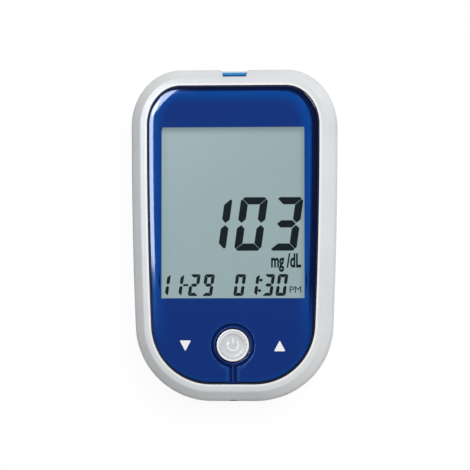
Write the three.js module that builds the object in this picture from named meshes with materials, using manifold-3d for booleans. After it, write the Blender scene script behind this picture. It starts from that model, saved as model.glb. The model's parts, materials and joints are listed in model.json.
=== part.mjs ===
// A hand-held blood glucose meter, lying on its back.
// Millimetres. +X is to the right of the display, +Y runs towards the test strip slot,
// and +Z comes out of the display.
// The origin is under the middle of the case, on the face that it rests on.

import * as THREE from "three";
import { mergeVertices } from "three/addons/utils/BufferGeometryUtils.js";
import Module from "manifold-3d";

const wasm = await Module();
wasm.setup();

// Clearances shared by many pieces
const seatGap = 0.3; // between a piece and what it rests on or runs beside
const closeGap = 0.1; // between pieces that are bonded or clipped together
const cutOver = 1; // how far a cutting body runs past what it cuts

// Display window, which the width and length of the case are set out around
const displayWidth = 41.3;
const displayHeight = 49.35;
const sideBorder = 9.15; // window edge to the side of the case
const topBorder = 17; // window edge to the strip end of the case
const keyBorder = 29.65; // window edge to the key end of the case

// Outline of the case, seen from the front
const topCornerX = 14.5; // half axes of the elliptical corners at the strip end
const topCornerY = 16.2;
const keyCornerRadius = 22.3; // round corners at the key end
const sideTaper = THREE.MathUtils.degToRad(2.5); // how far the sides lean in where they reach the key end
const topSteps = 8;
const sideSteps = 6;
const keySteps = 10;

// Walls
const backWall = 1.8;
const frontWall = 2;
const deckThickness = 1;
const bayWall = 1;

// Two AAA cells, side by side and head to tail
const cellDiameter = 10.5;
const cellLength = 44.5; // with its positive nub
const nubDiameter = 3.8;
const nubLength = 0.8;
const cellGap = 0.4; // between the cells, and beside them
const cellChamfer = 0.4;

// Battery contacts
const contactThickness = 0.3;
const contactSide = 8; // square plates
const contactLegWidth = 1.6; // the tag that is soldered to the board
const springLength = 3.1; // as compressed by the cell
const springWire = 0.5;
const springWideRadius = 3.4;
const springNarrowRadius = 1.7;
const springTurns = 2.5;
const springSteps = 8; // in each turn
const springSides = 5; // of the wire's section

// Battery door, its two hooks and its latch
const doorRecess = 0.3; // the door lies this far inside the back face
const doorThickness = 1.5;
const doorLedge = 2.1; // the door reaches this far past the bay on each side
const doorEndInset = 8.15; // from the key end of the case to the opening for the door
const doorCornerRadius = 2.5;
const hookWidth = 4;
const hookSpread = 14; // between the middles of the two hooks
const hookLift = 0.7; // hook above the inside of the door
const hookThickness = 0.9;
const hookReach = 2.3; // past the edge of the door
const hookRoot = 1.6; // the part of the hook that stands on the door
const latchWidth = 8;
const latchLeaf = 0.8; // thickness of the bent spring leaf
const latchHeight = 4.6; // above the inside of the door
const latchRoom = 4.4; // length of the compartment that the latch bends in
const latchBite = 0.7; // how far its nose enters the wall
const latchNose = 1.1; // height of the nose
const latchNoseLift = 1.3; // nose above the inside of the door
const ridgeCount = 4;
const ridgeHeight = 0.22;
const ridgeWidth = 0.5;
const ridgePitch = 1.3;
const ridgeLength = 12;
const ridgeSetback = 4.2; // from the latch to the first ridge
const labelWidth = 19;
const labelLength = 30;
const labelThickness = 0.15;
const labelRecess = 0.3; // into the door's outer face
const labelSetback = 9; // from the door's hinge edge

// Rear housing
const seamGap = 0.3; // visible line between the two halves of the case
const seamAboveBay = 0.1; // the seam lies this far above the inside of the bay
const backRound = 9; // width of the rounded edge round the back
const backFullness = 2.8; // exponent of its superellipse, over 2 is fuller than round
const backSteps = 6;
const lipHeight = 1.2; // tongue of the front housing inside the rear one
const lipInset = 1.05;
const scoopRadius = 12; // thumb scoop beyond the latch
const scoopDepth = 1.1;
const scoopSetback = 2.2;
const postRadius = 1.5; // posts under the circuit board
const postSpread = 48;
const postPitch = 24;

// Case screws
const screwShankRadius = 0.85;
const screwHeadRadius = 2.2;
const screwHeadHeight = 1.5;
const screwCrownShare = 0.8; // flat of the head, as a share of its radius
const screwLength = 10;
const screwSlotWidth = 0.6;
const screwSlotDepth = 0.7;
const screwSlotLength = 2.8;
const screwSeatHeight = 6; // shoulder that the head pulls against
const screwShoulder = 5; // height of material from the shoulder to the top of the rear boss
const rearBossWall = 1;
const frontBossRadius = 2.4;
const pilotRadius = 1;
const topScrewFromSide = 9.8;
const topScrewFromEnd = 8.5;
const keyScrewFromDoor = 5.7;
const keyScrewFromEnd = 15;
const roundSteps = 20;

// Circuit board
const boardThickness = 1.2;
const boardLift = 0.6; // board above the roof of the bay
const boardInset = 4;

// Liquid crystal display, its light guide and its frame
const guideThickness = 1.8;
const cellGlassThickness = 2.2;
const glassMargin = 1.2; // glass past the window, each side
const glassLedge = 4.6; // glass past the window at the contact edge
const frameWall = 1;
const gasketThickness = 0.5;
const gasketWidth = 0.9;
const deckMargin = 0.5; // opening in the deck past the window
const stripThickness = 1.6; // rubber contact strip
const stripInset = 3; // from each end of the glass
const ledWidth = 3;
const ledDepth = 1;
const ledHeight = 1.2;
const ledPitch = 22;

// Face panel with its two flexing keys
const panelInset = 5.1; // from the outline of the case
const panelGap = 0.3; // between the panel and the rim
const panelThickness = 1.3;
const panelRound = 3; // width of its rounded edge
const panelDrop = 0.85; // fall of the rounded edge
const panelSteps = 5;
const hingeWidth = 0.3; // thinned line that the keys flex about
const keySlotWidth = 2.3; // slot between the two keys
const dishRadius = 6.3; // round opening about the power button
const keyRowFromEnd = 16.05; // middle of the button to the key end of the case
const arrowKeySpread = 27.4; // between the pressing posts of the two keys
const keyPostRadius = 1.5;
const keyPostRun = 0.4; // room round a post in its hole
const keySwing = THREE.MathUtils.degToRad(2.5);

// Power button
const buttonRadius = 4.7;
const buttonRun = 0.25; // room round the button
const buttonProud = 0.4; // above the face panel
const buttonFlange = 1.1; // past the button, under the deck
const buttonFlangeThickness = 1.2;
const buttonStemRadius = 1.5;
const buttonRim = 0.5; // width of the raised rim
const buttonDish = 0.35; // depth of the dished face
const buttonSteps = 32;
const symbolRadius = 1.5; // middle line of the power symbol's ring
const symbolLine = 0.4;
const symbolHeight = 0.12;
const symbolOpening = THREE.MathUtils.degToRad(50); // half of the gap in the ring
const symbolBar = 1.5;

// Surround of the button, with the rib in the key slot
const surroundWall = 1;
const surroundLip = 0.45; // height of the lip above the rest of it
const surroundDrop = 0.75; // lip below the face panel
const ribWidth = 0.9;

// Snap domes on the board
const domeRadius = 2.5;
const domeHeight = 0.5;
const domeThickness = 0.15;
const domeSteps = 4;

// Rim of the front housing
const rimCrestDrop = 0.65; // below the face panel
const rimCrestInset = 4.5;
const rimCreaseDrop = 1.2;
const rimCreaseInset = 2.87;
const rimShoulderDrop = 3.1;
const rimShoulderInset = 0.6;
const rimEdgeDrop = 3.8;
const rimEdgeInset = 0.12;
const rimSideDrop = 4.7;
const cavityShoulder = 2.4; // height of the slope at the top of the cavity
const cavityDeckInset = 4.2;

// Strip port, its notch in the rim, and the connector on the board
const portWidth = 6.9;
const portWall = 0.55;
const portHeight = 3.9;
const portSetback = 0.8; // its mouth lies inside the end of the case
const portReach = 4.4; // length
const notchFlare = 0.5; // notch past the port at the rim, each side
const notchDepth = 2.2; // from the end of the case
const slotHeight = 1;
const slotLift = 1.3; // slot above the underside of the port
const mouthFlare = 0.45;
const mouthDepth = 1;
const connectorWidth = 12;
const connectorHeight = 3.4;
const contactCount = 4;
const fingerWidth = 0.6;
const fingerThickness = 0.25;
const fingerPitch = 1.5;
const fingerDrop = 0.8; // from the roof of the slot to the bend
const fingerTail = 1.1; // from the bend to the mouth

// Parts soldered under the board, past the end of the battery bay
const chipSide = 10;
const chipThickness = 1.4;
const memoryWidth = 5;
const memoryLength = 6;
const crystalWidth = 3.2;
const crystalLength = 8;
const crystalThickness = 2.2;
const buzzerRadius = 4.5;
const buzzerHeight = 3.5;
const buzzerHoleRadius = 1;
const partGap = 2; // between neighbours in the row

// Data jack in the key end
const jackWidth = 6;
const jackHeight = 4;
const jackNoseRadius = 1.9;
const jackBoreRadius = 1.3;
const jackBoreDepth = 6.4;
const jackSetback = 0.4;
const jackReach = 7.4;

// Heights, from the back face up
const doorInside = doorRecess + doorThickness;
const cellHeight = doorInside + seatGap + cellDiameter / 2;
const bayRoof = cellHeight + cellDiameter / 2 + seatGap;
const seamHeight = bayRoof + seamAboveBay;
const boardUnder = bayRoof + bayWall + boardLift;
const boardTop = boardUnder + boardThickness;
const guideUnder = boardTop + seatGap;
const glassUnder = guideUnder + guideThickness + seatGap;
const glassTop = glassUnder + cellGlassThickness;
const gasketUnder = glassTop + closeGap;
const deckUnder = gasketUnder + gasketThickness + closeGap;
const deckTop = deckUnder + deckThickness;
const panelUnder = deckTop + seatGap;
const panelTop = panelUnder + panelThickness;
const domeTop = boardTop + closeGap + domeHeight;

// Outline extents and the places along the meter that follow from them
const halfWidth = displayWidth / 2 + sideBorder;
const halfLength = (topBorder + displayHeight + keyBorder) / 2;
const displayLow = keyBorder - halfLength;
const displayHigh = halfLength - topBorder;
const keyRow = keyRowFromEnd - halfLength;
const hingeLine = keyRow + dishRadius + hingeWidth / 2;
const arrowPost = arrowKeySpread / 2;

// The keys swing by this much at the end of the case, so the deck is lower under them
const keyFall = (hingeLine - panelInset + halfLength) * Math.sin(keySwing);
const wellFloor = panelUnder - keyFall - seatGap;
const wellUnder = wellFloor - deckThickness;
const wellStart = hingeLine + seatGap;

// The battery bay
const bayHalf = cellDiameter + cellGap / 2 + cellGap;
const cellSide = (cellDiameter + cellGap) / 2;
const doorHalf = bayHalf + doorLedge;
const doorLow = doorEndInset + seatGap - halfLength;
const hookSwing = Math.hypot(hookRoot, doorThickness + hookLift + hookThickness) + seatGap;
const bayLow = doorLow + hookSwing + bayWall;
const contactLow = bayLow + closeGap;
const contactHigh = contactLow + contactThickness * 2 + springLength + cellLength + closeGap * 3;
const dividerLow = contactHigh + closeGap;
const latchLow = dividerLow + bayWall;
const bayHigh = latchLow + latchRoom;
const doorHigh = bayHigh + bayWall - seatGap;

// The places of the screws
const topScrewX = halfWidth - topScrewFromSide;
const topScrewY = halfLength - topScrewFromEnd;
const keyScrewX = doorHalf + keyScrewFromDoor;
const keyScrewY = keyScrewFromEnd - halfLength;
const screwPlaces = [
  [-topScrewX, topScrewY],
  [topScrewX, topScrewY],
  [-keyScrewX, keyScrewY],
  [keyScrewX, keyScrewY],
];
const counterboreRadius = screwHeadRadius + cellGap;
const rearBossTop = screwSeatHeight + screwShoulder;
const frontBossUnder = rearBossTop + seatGap;

// Colours and finishes
const finish = (colour, roughness, metalness = 0, opacity = 1) =>
  new THREE.MeshStandardMaterial({ color: colour, roughness, metalness, opacity, transparent: opacity < 1 });
const silverPlastic = finish(0xdfe0e2, 0.42);
const bluePanel = finish(0x17347a, 0.12);
const darkBlue = finish(0x0a1a4a, 0.2);
const portBlue = finish(0x1f78b8, 0.25);
const clearPane = finish(0xf4f8f8, 0.05, 0, 0.2);
const displayGlass = finish(0x9ab0ae, 0.35);
const whitePlastic = finish(0xf2f2ee, 0.5);
const blackPlastic = finish(0x1a1a1c, 0.5);
const blackFoam = finish(0x222224, 0.9);
const boardGreen = finish(0x1d5a34, 0.5);
const nickel = finish(0xc9c8c2, 0.3, 1);
const steel = finish(0xb4b6b8, 0.35, 1);
const gold = finish(0xd9b45a, 0.3, 1);
const cellWrap = finish(0x2c2f33, 0.4);
const paperWhite = finish(0xe9e9e6, 0.6);

// A closed geometry as a solid that can be cut and joined
function solidOf(geometry) {
  const plain = geometry.clone();
  plain.deleteAttribute("normal");
  plain.deleteAttribute("uv");
  const merged = mergeVertices(plain, 1e-4);
  return new wasm.Manifold(
    new wasm.Mesh({
      numProp: 3,
      vertProperties: merged.attributes.position.array,
      triVerts: new Uint32Array(merged.index.array),
    }),
  );
}

// A solid as a named mesh
function part(name, solid, material) {
  const made = solid.getMesh();
  const geometry = new THREE.BufferGeometry();
  geometry.setAttribute("position", new THREE.BufferAttribute(made.vertProperties, 3));
  geometry.setIndex(new THREE.BufferAttribute(made.triVerts, 1));
  geometry.computeVertexNormals();
  const mesh = new THREE.Mesh(geometry, material);
  mesh.name = name;
  return mesh;
}

const joined = (solids) => solids.reduce((sum, next) => sum.add(next));

function box(x0, x1, y0, y1, z0, z1) {
  const geometry = new THREE.BoxGeometry(x1 - x0, y1 - y0, z1 - z0);
  return solidOf(geometry.translate((x0 + x1) / 2, (y0 + y1) / 2, (z0 + z1) / 2));
}

// An upright cylinder
function post(x, y, radius, z0, z1, steps = roundSteps) {
  const geometry = new THREE.CylinderGeometry(radius, radius, z1 - z0, steps);
  return solidOf(geometry.rotateX(Math.PI / 2).translate(x, y, (z0 + z1) / 2));
}

// A cylinder along Y
function bar(x, z, radius, y0, y1, steps = roundSteps) {
  const geometry = new THREE.CylinderGeometry(radius, radius, y1 - y0, steps);
  return solidOf(geometry.translate(x, (y0 + y1) / 2, z));
}

// A flat shape raised from z0 to z1
function prism(shape, z0, z1, curveSegments = 6) {
  const geometry = new THREE.ExtrudeGeometry(shape, { depth: z1 - z0, bevelEnabled: false, curveSegments });
  return solidOf(geometry.translate(0, 0, z0));
}

function roundedRectangle(x0, x1, y0, y1, radius) {
  const shape = new THREE.Shape();
  shape.absarc(x1 - radius, y0 + radius, radius, -Math.PI / 2, 0);
  shape.absarc(x1 - radius, y1 - radius, radius, 0, Math.PI / 2);
  shape.absarc(x0 + radius, y1 - radius, radius, Math.PI / 2, Math.PI);
  shape.absarc(x0 + radius, y0 + radius, radius, Math.PI, Math.PI * 1.5);
  shape.closePath();
  return shape;
}

// A profile of [y, z] points carried along X from x0 to x1
function carried(profile, x0, x1) {
  const shape = new THREE.Shape(profile.map(([y, z]) => new THREE.Vector2(y, z)));
  const geometry = new THREE.ExtrudeGeometry(shape, { depth: x1 - x0, bevelEnabled: false });
  geometry.applyMatrix4(new THREE.Matrix4().set(0, 0, 1, x0, 1, 0, 0, 0, 0, 1, 0, 0, 0, 0, 0, 1));
  return solidOf(geometry);
}

// A profile of [radius, height] points turned about an upright axis through x, y
function turned(profile, x, y, steps = roundSteps) {
  const points = profile.map(([radius, height]) => new THREE.Vector2(radius, height));
  return solidOf(new THREE.LatheGeometry(points, steps).rotateX(Math.PI / 2).translate(x, y, 0));
}

// Points of the case's outline with their outward directions, anticlockwise.
// The right half runs from the strip end to the key end: an ellipse, a parabola that leans in,
// and a round corner.
function caseOutline() {
  const half = [];
  const add = (x, y, nx, ny) => {
    const length = Math.hypot(nx, ny);
    half.push({ x, y, nx: nx / length, ny: ny / length });
  };
  const cornerX = halfWidth - topCornerX;
  const cornerY = halfLength - topCornerY;
  for (let i = 0; i <= topSteps; i++) {
    const a = (i / topSteps) * (Math.PI / 2);
    add(
      cornerX + topCornerX * Math.sin(a),
      cornerY + topCornerY * Math.cos(a),
      Math.sin(a) / topCornerX,
      Math.cos(a) / topCornerY,
    );
  }
  const keyY = keyCornerRadius - halfLength;
  const sideLow = keyY - keyCornerRadius * Math.sin(sideTaper);
  const sideRun = cornerY - sideLow;
  const lean = (sideRun / 2) * Math.tan(sideTaper);
  for (let i = 1; i < sideSteps; i++) {
    const t = i / sideSteps;
    add(halfWidth - lean * t * t, cornerY - sideRun * t, sideRun, -2 * lean * t);
  }
  const keyX = halfWidth - lean - keyCornerRadius * Math.cos(sideTaper);
  for (let i = 0; i <= keySteps; i++) {
    const a = sideTaper + (i / keySteps) * (Math.PI / 2 - sideTaper);
    const across = Math.cos(a);
    const along = -Math.sin(a);
    add(keyX + keyCornerRadius * across, keyY + keyCornerRadius * along, across, along);
  }
  const mirrored = half.map((p) => ({ x: -p.x, y: p.y, nx: -p.nx, ny: p.ny }));
  return [...half, ...mirrored.reverse()].reverse();
}
const outline = caseOutline();

// A solid through copies of the outline, each at its own [inset, height], lowest first
function loft(rings) {
  const count = outline.length;
  const positions = [];
  const faces = [];
  for (const [inset, height] of rings)
    for (const p of outline) positions.push(p.x - inset * p.nx, p.y - inset * p.ny, height);
  for (let ring = 0; ring + 1 < rings.length; ring++)
    for (let i = 0; i < count; i++) {
      const a = ring * count + i;
      const b = ring * count + ((i + 1) % count);
      faces.push(a, b, b + count, a, b + count, a + count);
    }
  const first = positions.length / 3;
  const last = first + 1;
  positions.push(0, 0, rings[0][1], 0, 0, rings[rings.length - 1][1]);
  const lastRing = (rings.length - 1) * count;
  for (let i = 0; i < count; i++) {
    const next = (i + 1) % count;
    faces.push(first, next, i, last, lastRing + i, lastRing + next);
  }
  const geometry = new THREE.BufferGeometry();
  geometry.setAttribute("position", new THREE.BufferAttribute(new Float32Array(positions), 3));
  geometry.setIndex(faces);
  return solidOf(geometry);
}

// The rounded back: a superellipse from the back face up to the seam, set in by a wall
function backRings(wall, top) {
  const width = backRound - wall;
  const rings = [];
  for (let i = 0; i <= backSteps; i++) {
    const a = (1 - i / backSteps) * (Math.PI / 2);
    const across = Math.pow(Math.cos(a), 2 / backFullness);
    const down = Math.pow(Math.sin(a), 2 / backFullness);
    rings.push([wall + width * (1 - across), wall + (top - wall) * (1 - down)]);
  }
  return rings;
}

// Rear housing
function rearHousing() {
  const top = seamHeight - seamGap / 2;
  const outside = loft(backRings(0, top));
  const inside = backRings(backWall, top);
  const cavity = loft([...inside, [backWall, top + cutOver]]);
  const rebate = loft([
    [lipInset - closeGap, seamHeight - lipHeight - seatGap],
    [lipInset - closeGap, top + cutOver],
  ]);
  let housing = outside.subtract(cavity).subtract(rebate);

  const bayOutside = box(
    -bayHalf - bayWall,
    bayHalf + bayWall,
    bayLow - bayWall,
    bayHigh + bayWall,
    backWall / 2,
    bayRoof + bayWall,
  );
  const bosses = screwPlaces.map(([x, y]) =>
    post(x, y, counterboreRadius + rearBossWall, backWall / 2, rearBossTop).intersect(outside),
  );
  const posts = [-1, 1].flatMap((side) =>
    [-1, 1].map((end) =>
      post((side * postSpread) / 2, (end * postPitch) / 2, postRadius, backWall / 2, boardUnder - seatGap),
    ),
  );
  const doorPad = prism(
    roundedRectangle(
      -doorHalf - seatGap - bayWall,
      doorHalf + seatGap + bayWall,
      doorLow - seatGap - bayWall,
      doorHigh + seatGap + bayWall,
      doorCornerRadius + seatGap + bayWall,
    ),
    backWall / 2,
    doorInside + closeGap + bayWall,
  );
  housing = joined([housing, bayOutside, doorPad, ...bosses, ...posts]);

  housing = housing.subtract(box(-bayHalf, bayHalf, bayLow, bayHigh, -cutOver, bayRoof));
  const dividerHalf = bayHalf + closeGap;
  const dividerUnder = doorInside + seatGap;
  const dividerTop = bayRoof + closeGap;
  housing = housing.add(box(-dividerHalf, dividerHalf, dividerLow, latchLow, dividerUnder, dividerTop));
  const doorPocket = roundedRectangle(
    -doorHalf - seatGap,
    doorHalf + seatGap,
    doorLow - seatGap,
    doorHigh + seatGap,
    doorCornerRadius + seatGap,
  );
  housing = housing.subtract(prism(doorPocket, -cutOver, doorInside + closeGap));
  for (const [x, y] of screwPlaces) {
    housing = housing
      .subtract(post(x, y, counterboreRadius, -cutOver, screwSeatHeight))
      .subtract(post(x, y, screwShankRadius + cellGap, -cutOver, rearBossTop + cutOver));
  }
  for (const side of [-1, 1]) {
    const x = (side * hookSpread) / 2;
    const room = hookWidth / 2 + seatGap;
    const over = doorInside + hookLift - seatGap;
    const high = doorInside + hookSwing + hookReach;
    housing = housing
      .subtract(box(x - room, x + room, doorLow - seatGap, doorLow + hookSwing, doorInside - closeGap, high))
      .subtract(box(x - room, x + room, doorLow - hookReach - seatGap, doorLow, over, high));
  }
  const noseLow = doorInside + latchNoseLift - seatGap;
  housing = housing.subtract(
    box(
      -latchWidth / 2 - seatGap,
      latchWidth / 2 + seatGap,
      bayHigh - closeGap,
      bayHigh + bayWall + cutOver,
      noseLow,
      noseLow + latchNose + seatGap * 2,
    ),
  );
  for (const [x, y] of contactLegs()) {
    const half = contactLegWidth / 2 + closeGap;
    housing = housing.subtract(
      box(x - half, x + half, y - closeGap, y + contactThickness + closeGap, bayRoof - cutOver, boardUnder),
    );
  }
  const scoopMiddle = doorHigh + seatGap + scoopSetback;
  const scoop = new THREE.SphereGeometry(scoopRadius, roundSteps, roundSteps * 2);
  scoop.rotateX(Math.PI / 2).translate(0, scoopMiddle, scoopDepth - scoopRadius);
  return housing.subtract(solidOf(scoop));
}

// Front housing: rim, deck under the face panel, and the bosses that take the screws
function frontHousing() {
  const bottom = seamHeight + seamGap / 2;
  const outside = loft([
    [0, bottom],
    [0, panelTop - rimSideDrop],
    [rimEdgeInset, panelTop - rimEdgeDrop],
    [rimShoulderInset, panelTop - rimShoulderDrop],
    [rimCreaseInset, panelTop - rimCreaseDrop],
    [rimCrestInset, panelTop - rimCrestDrop],
  ]);
  const underKeys = box(-halfWidth, halfWidth, -halfLength, wellStart + deckThickness, wellUnder, panelTop);
  const cavity = loft([
    [frontWall, bottom - cutOver],
    [frontWall, deckUnder - cavityShoulder],
    [cavityDeckInset, deckUnder],
  ]).subtract(underKeys);
  const recessInset = panelInset - panelGap;
  const recess = loft([
    [recessInset, deckTop],
    [recessInset, panelTop],
  ]);
  const well = loft([
    [recessInset, wellFloor],
    [recessInset, panelTop],
  ]).intersect(box(-halfWidth, halfWidth, -halfLength, wellStart, wellFloor - cutOver, panelTop + cutOver));
  let housing = outside.subtract(cavity).subtract(recess).subtract(well);

  const lipOutside = loft([
    [lipInset, seamHeight - lipHeight],
    [lipInset, bottom + closeGap],
  ]);
  const lipInside = loft([
    [frontWall, seamHeight - lipHeight - cutOver],
    [frontWall, bottom + closeGap + cutOver],
  ]);
  const bosses = screwPlaces.map(([x, y]) => {
    const under = y < wellStart ? wellUnder : deckUnder;
    return post(x, y, frontBossRadius, frontBossUnder, under + deckThickness / 2);
  });
  housing = joined([housing, lipOutside.subtract(lipInside), ...bosses]);
  const screwEnd = screwSeatHeight + screwLength + seatGap;
  for (const [x, y] of screwPlaces)
    housing = housing.subtract(post(x, y, pilotRadius, frontBossUnder - cutOver, screwEnd));

  housing = housing.subtract(
    box(
      -displayWidth / 2 - deckMargin,
      displayWidth / 2 + deckMargin,
      displayLow - deckMargin,
      displayHigh + deckMargin,
      deckUnder - cutOver,
      panelTop,
    ),
  );
  const buttonRoom = buttonRadius + buttonRun;
  housing = housing.subtract(post(0, keyRow, buttonRoom, wellUnder - cutOver, panelTop, buttonSteps));
  for (const side of [-1, 1])
    housing = housing.subtract(
      post(side * arrowPost, keyRow, keyPostRadius + keyPostRun, wellUnder - cutOver, panelTop),
    );
  housing = housing.subtract(portNotch());
  const jackMiddle = boardTop + closeGap + jackHeight / 2;
  const jackRoom = jackWidth / 2 + seatGap;
  const wallInside = frontWall - halfLength;
  return housing
    .subtract(bar(0, jackMiddle, jackNoseRadius + seatGap, -halfLength - cutOver, wallInside + cutOver))
    .subtract(
      box(
        -jackRoom,
        jackRoom,
        wallInside,
        wallInside + jackReach,
        bottom,
        jackMiddle + jackHeight / 2 + seatGap,
      ),
    );
}

// The pocket for the strip port, and the notch that flares out through the rim above it
function portNotch() {
  const low = boardTop - closeGap;
  const half = portWidth / 2 + portWall;
  const pocket = box(
    -half - seatGap,
    half + seatGap,
    halfLength - portSetback - portReach - seatGap,
    halfLength + cutOver,
    low,
    low + portHeight + seatGap * 2,
  );
  const shape = new THREE.Shape([
    new THREE.Vector2(-half + notchFlare, halfLength - notchDepth),
    new THREE.Vector2(half - notchFlare, halfLength - notchDepth),
    new THREE.Vector2(half + notchFlare, halfLength + cutOver),
    new THREE.Vector2(-half - notchFlare, halfLength + cutOver),
  ]);
  return pocket.add(prism(shape, low + portHeight, panelTop));
}

// Blue strip port: a block with the strip's slot and its flared mouth
function stripPort() {
  const low = boardTop + closeGap;
  const half = portWidth / 2 + portWall - seatGap;
  const mouth = halfLength - portSetback;
  const slotHalf = portWidth / 2 - portWall;
  const slotLow = low + slotLift;
  const slotHigh = slotLow + slotHeight;
  const block = box(-half, half, mouth - portReach, mouth, low, low + portHeight);
  const slot = box(-slotHalf, slotHalf, mouth - portReach - cutOver, mouth + cutOver, slotLow, slotHigh);
  const flare = carried(
    [
      [mouth - mouthDepth, slotLow],
      [mouth, slotLow - mouthFlare],
      [mouth, slotHigh + mouthFlare],
      [mouth - mouthDepth, slotHigh],
    ],
    -slotHalf,
    slotHalf,
  );
  return block.subtract(slot).subtract(flare);
}

// Strip connector on the board, from the display's frame to the port
function connectorSpan() {
  const high = halfLength - portSetback - portReach - seatGap;
  const low = displayHigh + glassMargin + closeGap + frameWall + seatGap;
  return [low, high];
}

function stripConnector() {
  const [low, high] = connectorSpan();
  const under = boardTop + closeGap;
  const slotHalf = portWidth / 2 - portWall;
  const slotLow = under + slotLift;
  const body = box(-connectorWidth / 2, connectorWidth / 2, low, high, under, under + connectorHeight);
  return body.subtract(
    box(-slotHalf, slotHalf, low + bayWall, high + cutOver, slotLow, slotLow + slotHeight + seatGap * 2),
  );
}

// One of the connector's spring fingers: a leaf that slopes from the slot's roof down to where it wipes the
// strip, and turns up again at its tip
function stripFinger(index) {
  const [low, high] = connectorSpan();
  const x = (index - (contactCount - 1) / 2) * fingerPitch;
  const roof = boardTop + closeGap + slotLift + slotHeight + seatGap * 2 - closeGap;
  const bend = high - fingerTail;
  const profile = [
    [low + bayWall + closeGap, roof],
    [bend, roof - fingerDrop],
    [high - closeGap, roof - fingerDrop + fingerTail / 2],
  ];
  const under = profile.map(([y, z]) => [y, z - fingerThickness]).reverse();
  return carried([...profile, ...under], x - fingerWidth / 2, x + fingerWidth / 2);
}

// Face panel: a plate with a rounded edge, before it is divided into the fixed panel and the two keys
function panelBlank() {
  const rings = [[panelInset, panelUnder]];
  for (let i = 0; i <= panelSteps; i++) {
    const a = (i / panelSteps) * (Math.PI / 2);
    const inset = panelInset + panelRound * (1 - Math.cos(a));
    rings.push([inset, panelTop - panelDrop * (1 - Math.sin(a))]);
  }
  return loft(rings);
}

function facePanel() {
  const under = panelUnder - cutOver;
  const over = panelTop + cutOver;
  return panelBlank()
    .intersect(box(-halfWidth, halfWidth, hingeLine + hingeWidth / 2, halfLength, under, over))
    .subtract(box(-displayWidth / 2, displayWidth / 2, displayLow, displayHigh, under, over));
}

function displayWindow() {
  return box(
    -displayWidth / 2 + closeGap,
    displayWidth / 2 - closeGap,
    displayLow + closeGap,
    displayHigh - closeGap,
    panelUnder,
    panelTop,
  );
}

// One flexing key, on the given side, with the post that presses its dome
function arrowKey(side) {
  const inner = keySlotWidth / 2;
  const [x0, x1] = side < 0 ? [-halfWidth, -inner] : [inner, halfWidth];
  const under = panelUnder - cutOver;
  const over = panelTop + cutOver;
  const plate = panelBlank()
    .intersect(box(x0, x1, -halfLength, hingeLine - hingeWidth / 2, under, over))
    .subtract(post(0, keyRow, dishRadius, under, over, buttonSteps));
  const stemTop = panelUnder + panelThickness / 2;
  return plate.add(post(side * arrowPost, keyRow, keyPostRadius, domeTop + closeGap, stemTop));
}

// Button surround: a lipped ring on the deck, and the rib that runs down the key slot
function buttonSurround() {
  const inner = buttonRadius + buttonRun;
  const outer = inner + surroundWall;
  const under = wellFloor + closeGap;
  const lip = panelTop - surroundDrop;
  const shelf = lip - surroundLip;
  const ring = turned(
    [
      [inner, under],
      [outer, under],
      [outer, shelf],
      [inner + surroundWall / 2, shelf],
      [inner + surroundWall / 3, lip],
      [inner, lip],
      [inner, under],
    ],
    0,
    keyRow,
    buttonSteps,
  );
  const ribEnd = panelInset - halfLength;
  const rib = box(-ribWidth / 2, ribWidth / 2, ribEnd, keyRow - (inner + outer) / 2, under, shelf);
  return ring.add(rib);
}

// Power button: a cap with a raised rim, a dished face, a flange that holds it in and a stem over its dome
function powerButton() {
  const top = panelTop + buttonProud;
  const flangeTop = wellUnder - seatGap;
  const flangeUnder = flangeTop - buttonFlangeThickness;
  const face = top - buttonDish;
  const cap = turned(
    [
      [0, domeTop + closeGap],
      [buttonStemRadius, domeTop + closeGap],
      [buttonStemRadius, flangeUnder],
      [buttonRadius + buttonFlange, flangeUnder],
      [buttonRadius + buttonFlange, flangeTop],
      [buttonRadius, flangeTop],
      [buttonRadius, top - buttonRim / 2],
      [buttonRadius - buttonRim / 4, top - buttonRim / 8],
      [buttonRadius - buttonRim / 2, top],
      [buttonRadius - buttonRim, top - buttonDish / 4],
      [buttonRadius - buttonRim * 2, face],
      [0, face],
    ],
    0,
    keyRow,
    buttonSteps,
  );
  const half = symbolLine / 2;
  const from = Math.PI / 2 + symbolOpening;
  const to = Math.PI * 2.5 - symbolOpening;
  const ring = new THREE.Shape();
  ring.absarc(0, keyRow, symbolRadius + half, from, to);
  ring.absarc(0, keyRow, symbolRadius - half, to, from, true);
  ring.closePath();
  const low = face - symbolHeight;
  const high = face + symbolHeight;
  const line = box(-half, half, keyRow + half, keyRow + half + symbolBar, low, high);
  return joined([cap, prism(ring, low, high, buttonSteps / 2), line]);
}

// Snap dome, a thin round shell on the board
function snapDome(x) {
  const base = boardTop + closeGap;
  const profile = [];
  for (let i = 0; i <= domeSteps; i++) {
    const a = (i / domeSteps) * (Math.PI / 2);
    const inside = domeRadius - domeThickness;
    profile.push([inside * Math.sin(a), base + (domeHeight - domeThickness) * Math.cos(a)]);
  }
  for (let i = domeSteps; i >= 0; i--) {
    const a = (i / domeSteps) * (Math.PI / 2);
    profile.push([domeRadius * Math.sin(a), base + domeHeight * Math.cos(a)]);
  }
  profile[0][0] = 0;
  profile[profile.length - 1][0] = 0;
  return turned(profile, x, keyRow);
}

// Display glass, light guide, frame, gasket, contact strip and lamps
const glassHalf = displayWidth / 2 + glassMargin;
const glassLow = displayLow - glassLedge;
const glassHigh = displayHigh + glassMargin;
const lampLow = glassLow + stripThickness + closeGap * 2;
const guideLow = lampLow + ledDepth + closeGap;

const displayCell = () => box(-glassHalf, glassHalf, glassLow, glassHigh, glassUnder, glassTop);

const lightGuide = () =>
  box(-glassHalf, glassHalf, guideLow, glassHigh, guideUnder, guideUnder + guideThickness);

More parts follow.
